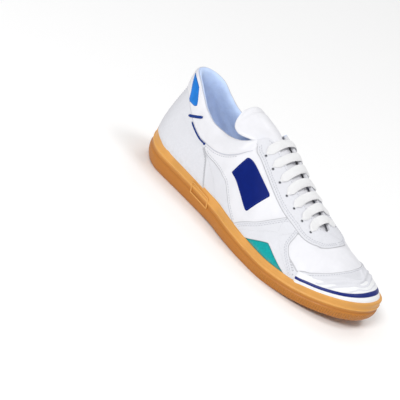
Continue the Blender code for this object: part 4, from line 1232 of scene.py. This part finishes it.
# A punched hole's rings: radius and lift in millimetres, the first four stretches up to the dark middle, a disc
# of painted shade standing in for the hole's depth
HOLE_ROWS = ((1.8, -0.1), (1.6, 0.16), (1.35, 0.22), (1.1, 0.15), (1.0, 0.09), (0.02, 0.07))


def build_holes():
    """A punched hole with a soft rim for each end of each bar, its middle a near-black disc of painted shade."""
    parts, slots = [], []
    turn = turns(16)
    for share in EYELETS:
        for side in (-1, 1):
            step = np.array([float(ring_of(share, side))])
            point, normal = finished_point(step, t_below_top(step, EYELET_RUN + 1.5 * MM))
            point, up = point[0], normal[0]
            out = np.cross(up, [0.0, 1.0, 0.2])
            out /= np.linalg.norm(out)
            circle = np.cos(turn)[:, None] * out + np.sin(turn)[:, None] * np.cross(up, out)
            rings = [point + (radius * circle + up * lift) * MM for radius, lift in HOLE_ROWS]
            parts.append((np.concatenate(rings), grid_faces(len(rings), len(turn), True)))
            slots += [0] * (3 * len(turn)) + [1] * (2 * len(turn))
    points, faces = joined(parts)
    add_piece("lace_holes", points, faces, [THREAD_PAINT, HOLE_SHADE_PAINT], face_slots=slots,
              recalc=False)


# Stitch rows on the panels

def contour(key, steps, level):
    """The t at which a panel's signed distance passes level, walking up each rib."""
    walk = np.linspace(0.0, 0.995, 120)
    grid_steps = np.repeat(steps, len(walk))
    found, _, _ = panels(grid_steps, np.tile(walk, len(steps)))
    value = found[key].reshape(len(steps), -1)
    hit = value >= level
    if key == "guard":
        hit = value <= level
        hit[:, :20] = False
    i = np.argmax(hit, axis=1)
    return walk[i], hit.any(axis=1) & (i > 0)


# Rows of threads beside the panels' edges, in millimetres inside (more than 0) or outside each edge
SEAMS = (
    ("counter", -1.6), ("quarter", -1.8), ("saddle_top", 2.0), ("saddle_top", 3.8),
    ("saddle_front", 2.0), ("saddle_front", 3.6),
)
HEEL_SEAM_STEP = 1.05
HEEL_SEAM_COUNT = 44


def build_stitches():
    parts = []

    def add(step, t):
        parts.append(stitches(*finished_point(step, t, 0.05 * MM)))

    def add_below_top(side, start, end, count, below):
        step = ring_of(np.linspace(start, end, count), side)
        add(step, t_below_top(step, below * MM))

    for level in (2.0 * MM, 4.0 * MM):
        for side in (-1, 1):
            step = ring_of(np.linspace(0.402, 0.905, 70), side)
            t, ok = contour("eyestay", step, level)
            add(step[ok], t[ok])
    for side in (-1, 1):
        add_below_top(side, 0.405, 0.80, 60, 2.4)
        for key, gap in SEAMS:
            moved = shifted(PANEL_LINES[key], side, side * gap * MM)
            step, t = ring_of(moved[:, 0], side), moved[:, 1]
            found, _, _ = panels(step, np.clip(t, 0, 1))
            low = np.maximum(t_above_rim(step, 1.0 * MM), 0.02)
            ok = (t > low) & (t < 0.99) & (found["eyestay"] < -0.5 * MM)
            if key in ("counter", "quarter"):
                ok &= t < 0.56
            if ok.sum() > 4:
                add(step[ok], t[ok])
        add_below_top(side, 0.245, 0.372, 30, 21.4)
        step = np.full(HEEL_SEAM_COUNT, HEEL_SEAM_STEP if side < 0 else RING - HEEL_SEAM_STEP)
        low, high = t_above_rim(step[:1], 2 * MM)[0], t_below_top(step[:1], 21 * MM)[0]
        add(step, np.linspace(low, high, HEEL_SEAM_COUNT))
    back = float(PER_SIDE - station_of(0.800))
    step = PER_SIDE + np.linspace(-back, back, 140)
    t, ok = contour("guard", step, 1.8 * MM)
    add(step[ok], t[ok])
    points, faces = joined(parts)
    add_piece("seam_threads", points, faces, [THREAD_PAINT], recalc=False)


# Small navy trims

# How far the bar behind the collar lies out, by the distance below the top line; in millimetres
BAR_PLACES = (3.0, 6.0, 10.0, 14.0, 17.4, 19.2, 20.5)
BAR_OUTS = (2.3, 2.9, 3.1, 2.85, 2.1, 1.25, 1.1)
# Piping: first and last share, points, then distance below the top line, out, width and wall in millimetres
PIPING = (
    (0.138, 0.238, 30, 20.3, 0.35, 1.5, 0.6),
    (0.236, 0.243, 5, 20.4, 0.50, 2.6, 0.8),
)


def ribbon(line, ups, width, wall):
    _, out = across_line(line, ups)
    turn = turns(12)
    place = np.arange(len(line))
    size = np.minimum(1.0, 0.6 + 0.4 * np.minimum(place, place[::-1]) / 2)
    y = fuller(np.cos(turn), 0.7) * width / 2 * size[:, None]
    z = np.sin(turn) * wall
    return tube(line[:, None] + y[..., None] * out[:, None] + z[:, None] * ups[:, None])


def build_trims():
    parts = []
    for side in (-1, 1):
        step = ring_of(np.linspace(0.108, 0.163, 24), side)
        below = np.linspace(22.6, 6.0, 24)
        t = t_below_top(step, below * MM)
        ups = last_normal(step, t)
        out = np.interp(below, BAR_PLACES, BAR_OUTS) + 0.25
        parts.append(ribbon(last_point(step, t) + ups * out[:, None] * MM, ups, 2.9 * MM, 0.45 * MM))
        for start, end, count, below, out, width, wall in PIPING:
            step = ring_of(np.linspace(start, end, count), side)
            line, ups = finished_point(step, t_below_top(step, below * MM), out * MM)
            parts.append(ribbon(line, ups, width * MM, wall * MM))
    points, faces = joined(parts)
    add_piece("navy_trims", points, faces, [NAVY_PAINT], recalc=False)


# Toe strip

# The strip's section: height over the rim and distance out from the last, in millimetres
STRIP_PROFILE = (
    (-1.5, 1.7), (0.0, 1.9), (1.0, 2.0), (1.5, 2.0), (1.7, 2.15), (3.9, 2.1), (4.1, 1.9), (6.2, 1.75),
    (7.6, 1.55), (8.2, 1.2), (8.6, 0.6), (8.7, 0.0), (8.6, -0.4),
)
STRIP_COLUMNS = 240


def build_strip():
    back = float(PER_SIDE - station_of(STRIP_BACK))
    steps = PER_SIDE + np.linspace(-back, back, STRIP_COLUMNS)
    place = np.arange(STRIP_COLUMNS)
    end = np.clip(np.minimum(place, place[::-1]) / 2.0, 0, 1)[:, None]
    rows = []
    for up, out in STRIP_PROFILE:
        t = t_above_rim(steps, up * MM)
        amount = 0.9 + (out - 0.9) * end if out > 0.9 else out
        rows.append(last_point(steps, t) + last_normal(steps, t) * amount * MM)
    add_piece("toe_foxing", np.concatenate(rows), grid_faces(len(rows), STRIP_COLUMNS, False), [STRIP_PAINT],
              ("toe_strip",),
              values={"up": np.repeat([up * MM for up, _ in STRIP_PROFILE], STRIP_COLUMNS)})


# Sole

# The sole's side: share of its height, share of the tuck under the foot, distance out in millimetres
SIDE_ROWS = (
    (0.00, 1.00, 0.0), (0.03, 0.75, 0.0), (0.07, 0.52, 0.0), (0.12, 0.36, 0.0), (0.20, 0.18, 0.0),
    (0.30, 0.05, 0.0), (0.40, 0.00, 0.0), (0.422, 0.00, -0.10), (0.440, 0.00, -0.50),
    (0.462, 0.00, -0.88), (0.50, 0.00, -0.95), (0.56, 0.00, -0.95), (0.592, 0.00, -0.88),
    (0.608, 0.00, -0.55), (0.622, 0.00, -0.18), (0.638, 0.00, -0.04), (0.655, 0.00, 0.0),
    (0.672, 0.00, -0.06), (0.688, 0.00, -0.30), (0.704, 0.00, -0.66), (0.730, 0.00, -0.82),
    (0.80, 0.00, -0.75), (0.90, 0.00, -0.64), (0.955, 0.00, -0.66), (0.980, 0.00, -0.85),
    (1.00, 0.00, -1.30),
)
GROUND_BAND = 8 * MM
LUG_DEPTH = 2.0 * MM
LUG_BITE = 0.8 * MM
LUG_WALL = 2.4 * MM
LUG_THIN_WALL = 1.9 * MM
LUG_MARGIN = 1.0 * MM
LUG_CHAMFER = 0.35 * MM
BALL_CENTRE = (0.645, 0.085)
HEEL_CENTRE = (0.190, 0.005)
TURN_RADII = (17 * MM, 10.5 * MM)
TURN_BUTTON = 5 * MM
# Rings on arcs: radius of the arc, radius of a ring, how many fit in a full turn
ARCS = (
    (25.0 * MM, 6.2 * MM, 9),
    (40.5 * MM, 8.0 * MM, 12),
    (57.5 * MM, 9.5 * MM, 15),
)
WAIST_SHARES = (0.325, 0.362, 0.399, 0.436, 0.473)
WAIST_BAR = (13 * MM, 4.5 * MM)
WAIST_MIDDLE = (8 * MM, 46 * MM)


def lug_rows(profile):
    """Rows of a lug out of (x, y, 0 at the ground or 1 in the sole, lift) entries."""
    return [np.column_stack([x, y, sole_height("bottom", x) + top * (LUG_DEPTH + LUG_BITE) + lift])
            for x, y, top, lift in profile]


def ring_lug(x, y, outer, inner, sides=32):
    """A round lug with its middle at x, y: a ring, or a button where inner is 0."""
    turn = turns(sides)
    middle = ((inner, 1.0, 0), (inner, 0.0, LUG_CHAMFER), (inner + LUG_CHAMFER, 0.0, 0))
    if inner == 0:
        middle = ((0.02 * MM, 0.0, 0),)
    edge = ((outer - LUG_CHAMFER, 0.0, 0), (outer, 0.0, LUG_CHAMFER), (outer, 1.0, 0))
    rows = lug_rows((x + radius * np.cos(turn), y + radius * np.sin(turn), top, lift)
                    for radius, top, lift in middle + edge)
    return np.concatenate(rows), [face[::-1] for face in grid_faces(len(rows), sides, True)]


def bar_lug(x, y, across, along):
    rows = lug_rows((x + np.array([-1, 1, 1, -1]) * (along / 2 + size),
                     y + np.array([-1, -1, 1, 1]) * (across / 2 + size), top, lift)
                    for size, top, lift in ((-LUG_CHAMFER, 0.0, 0), (0, 0.0, LUG_CHAMFER), (0, 1.0, 0)))
    return np.concatenate(rows), [face[::-1] for face in grid_faces(3, 4, True)] + [[0, 1, 2, 3]]


def sole_sides(x):
    share = x / LENGTH
    half = outline_value("half", share) * end_round(share) - GROUND_BAND - LUG_MARGIN
    middle = outline_value("middle", share)
    return middle - half, middle + half


def fits(x, y, radius):
    reach = radius + LUG_MARGIN
    around = np.linspace(0, 2 * math.pi, 24)
    px, py = x + reach * np.cos(around), y + reach * np.sin(around)
    if px.min() < GROUND_BAND or px.max() > LENGTH - GROUND_BAND:
        return False
    low, high = sole_sides(px)
    return bool(((py > low) & (py < high)).all())


def arc_lugs(centre, arc, side):
    """Rings with a button in each, on an arc round a centre, ahead (1) or behind (-1) the waist."""
    radius, size, count = arc
    waist = WAIST_SHARES[-1 if side > 0 else 0] * LENGTH
    lugs = []
    for i in range(count):
        turn = 2 * math.pi * (i + 0.5) / count
        x, y = centre[0] + radius * math.cos(turn), centre[1] + radius * math.sin(turn)
        if fits(x, y, size) and side * (x - waist) > size + WAIST_BAR[1]:
            lugs += [ring_lug(x, y, size, size - LUG_THIN_WALL), ring_lug(x, y, size * 0.34, 0, 20)]
    return lugs


def tread():
    lugs = []
    centres = [(share * LENGTH, wide * BALL_WIDTH) for share, wide in (BALL_CENTRE, HEEL_CENTRE)]
    for x, y in centres:
        lugs += [ring_lug(x, y, radius, radius - LUG_WALL, 56) for radius in TURN_RADII]
        lugs.append(ring_lug(x, y, TURN_BUTTON, 0))
    for arc in ARCS:
        lugs += arc_lugs(centres[0], arc, 1)
    lugs += arc_lugs(centres[1], ARCS[0], -1)
    for share in WAIST_SHARES:
        low, high = sole_sides(share * LENGTH)
        for middle in (low + WAIST_BAR[0] / 2, high - WAIST_BAR[0] / 2):
            lugs.append(bar_lug(share * LENGTH, middle, *WAIST_BAR))
    low, high = sole_sides(WAIST_SHARES[2] * LENGTH)
    lugs.append(bar_lug(WAIST_SHARES[2] * LENGTH, (low + high) / 2, *WAIST_MIDDLE))
    return lugs


def side_point(step, height, out):
    """A point of the sole's side wall: height share from the ground line to the rim, out in metres."""
    rib = ribs(step)
    foot = sole_height("bottom", rib["share"] * LENGTH)
    z = foot + height * (rib["rim"] - foot)
    flat = rib["spine"] + (rib["radius"] + out)[..., None] * rib["way"]
    return np.concatenate([flat, z[..., None]], -1)


def build_sole():
    columns = RING * FINE
    step = np.arange(columns) / FINE
    rib = ribs(step)
    radius, rim = rib["radius"], rib["rim"]
    foot = sole_height("bottom", rib["share"] * LENGTH)
    under = sole_height("tuck", rib["share"] * LENGTH)

    def flat_at(reach):
        return rib["spine"] + reach[:, None] * rib["way"]

    def at(reach, kind, lift=0.0):
        flat = flat_at(reach)
        return np.column_stack([flat, sole_height(kind, flat[:, 0]) + lift])

    ground = radius - GROUND_BAND
    rows = [at(0.002 * radius, "bottom", LUG_DEPTH), at(0.5 * radius, "bottom", LUG_DEPTH),
            at(ground - MM, "bottom", LUG_DEPTH), at(ground - 0.2 * MM, "bottom", 0.3 * MM),
            at(ground, "bottom")]
    side = [-1.0] * len(rows)
    for height, tuck, out in SIDE_ROWS:
        reach = radius - under * tuck + out * MM
        wall = np.column_stack([flat_at(reach), foot + height * (rim - foot)])
        rows.append(wall if height else at(reach, "bottom"))
        side.append(height)
    rim_point = last_point(step, t_above_rim(step, 0 * MM))
    inner = np.linalg.norm(rim_point[:, :2] - rib["spine"], axis=-1) + FIT_GAP
    outer = radius - 1.3 * MM
    for k in (0.5, 1.0):
        rows.append(np.column_stack([flat_at(outer + (inner - outer) * k), rim + 0.1 * MM * (1 - k)]))
    rows += [at(radius - RIM_WALL + FIT_GAP, "floor"), at(0.002 * radius, "floor")]
    side += [1.0] * 4
    body = (np.concatenate(rows), grid_faces(len(rows), columns, True))
    label = label_frame()
    points, faces = joined([body, *tread(), label])
    loop = rows[8]
    values = {
        "side": (np.repeat(side, columns), -1.0),
        "run": (np.tile(run_along(loop), len(rows)), 0.0),
        "ribbed": (np.tile(smooth(0.60, 0.72, rib["share"]), len(rows)), 0.0),
    }
    extra = len(points) - len(body[0])
    values = {key: np.concatenate([value, np.full(extra, filler)]) for key, (value, filler) in values.items()}
    values["side"][-len(label[0]):] = SIDE_RIDGE
    add_piece("gum_sole", points, faces, [GUM_PAINT], ("outsole",), values=values)


# The label's corners on the side: share of LENGTH and of the side's height
LABEL_CORNERS = ((0.284, 0.80), (0.372, 0.78), (0.384, 0.42), (0.296, 0.44), (0.284, 0.80))
LABEL_PIECES = 11


def label_frame():
    """A bare raised frame on the outer side of the sole."""
    at = np.arange(4 * LABEL_PIECES + 1) / LABEL_PIECES
    share, height = (np.interp(at, range(5), values) for values in zip(*LABEL_CORNERS))
    step = ring_of(share, -1)
    line = side_point(step, height, 0.15 * MM)
    ups = np.pad(ribs(step)["way"], ((0, 0), (0, 1)))
    _, out = across_line(line, ups)
    turn = turns(8)[:, None]
    return tube(line[:, None] + 0.55 * MM * (np.cos(turn) * out[:, None] + np.sin(turn) * ups[:, None]))


INSOLE_GAP = 0.3 * MM


# The insole's section: share of its reach and height over the cup's floor in millimetres
INSOLE_ROWS = (
    (0.002, 0.3), (0.5, 0.3), (0.985, 0.3), (1.0, 0.9), (1.0, 2.6), (0.985, 3.2), (0.95, 3.35), (0.8, 3.3),
    (0.5, 3.3), (0.25, 3.3), (0.002, 3.3),
)
INSOLE_FINE = 4


def build_insole():
    columns = RING * INSOLE_FINE
    rib = ribs(np.arange(columns) / INSOLE_FINE)
    reach = rib["radius"] - RIM_WALL - UPPER_WALL - INSOLE_GAP
    rows = []
    for share, rise in INSOLE_ROWS:
        flat = rib["spine"] + (reach * share)[:, None] * rib["way"]
        rows.append(np.column_stack([flat, sole_height("floor", flat[:, 0]) + rise * MM]))
    add_piece("insole_foam", np.concatenate(rows), grid_faces(len(rows), columns, True), [FOAM_PAINT],
              ("insole",))


# Stage

FLOOR_HALF = 6.0
FLOOR_HEIGHT = -0.05 * MM
WORLD_LIGHT = 0.49
# Name, place, aim, size and power
LIGHTS = (
    ("key", (0.9, 0.5, 2.6), (0, 0, 0.03), 0.8, 15.0),
    ("fill", (0.35, -1.8, 1.65), (-0.04, 0, 0.05), 0.8, 30.0),
    ("back", (-0.5, 1.8, 2.0), (0, 0, 0.05), 1.4, 9.0),
)
CAMERA_PLACE = (0.64252, -1.22792, 0.65847)
CAMERA_TURN = (61.8609, -25.5985, 43.0614)
CAMERA_LENS = 142.988


def build_stage():
    corners = [(-FLOOR_HALF, -FLOOR_HALF, FLOOR_HEIGHT), (FLOOR_HALF, -FLOOR_HALF, FLOOR_HEIGHT),
               (FLOOR_HALF, FLOOR_HALF, FLOOR_HEIGHT), (-FLOOR_HALF, FLOOR_HALF, FLOOR_HEIGHT)]
    mesh = bpy.data.meshes.new("floor")
    mesh.from_pydata(corners, [], [(0, 1, 2, 3)])
    floor = bpy.data.objects.new("floor", mesh)
    paint = bpy.data.materials.new("floor_white")
    paint.use_nodes = True
    shader = paint.node_tree.nodes["Principled BSDF"]
    shader.inputs["Base Color"].default_value = (0.98, 0.98, 0.98, 1)
    shader.inputs["Roughness"].default_value = 0.9
    mesh.materials.append(paint)
    bpy.context.scene.collection.objects.link(floor)
    bpy.context.scene.view_settings.view_transform = "Standard"
    world = bpy.context.scene.world or bpy.data.worlds.new("studio")
    bpy.context.scene.world = world
    world.use_nodes = True
    sky = world.node_tree.nodes["Background"]
    sky.inputs["Color"].default_value = (1, 1, 1, 1)
    sky.inputs["Strength"].default_value = WORLD_LIGHT
    for name, place, aim, size, power in LIGHTS:
        data = bpy.data.lights.new(name, "AREA")
        data.shape = "DISK"
        data.size = size
        data.energy = power
        lamp = bpy.data.objects.new(name, data)
        lamp.location = place
        lamp.rotation_euler = (Vector(aim) - Vector(place)).to_track_quat("-Z", "Y").to_euler()
        bpy.context.scene.collection.objects.link(lamp)


def build_camera():
    data = bpy.data.cameras.new("camera")
    data.lens = CAMERA_LENS
    data.sensor_width = 36.0
    camera = bpy.data.objects.new("camera", data)
    camera.location = CAMERA_PLACE
    camera.rotation_euler = tuple(math.radians(a) for a in CAMERA_TURN)
    bpy.context.scene.collection.objects.link(camera)
    bpy.context.scene.camera = camera


build_camera()
build_stage()
build_upper()
build_patches()
build_collar()
build_tongue()
build_laces()
build_holes()
build_stitches()
build_trims()
build_strip()
build_sole()
build_insole()
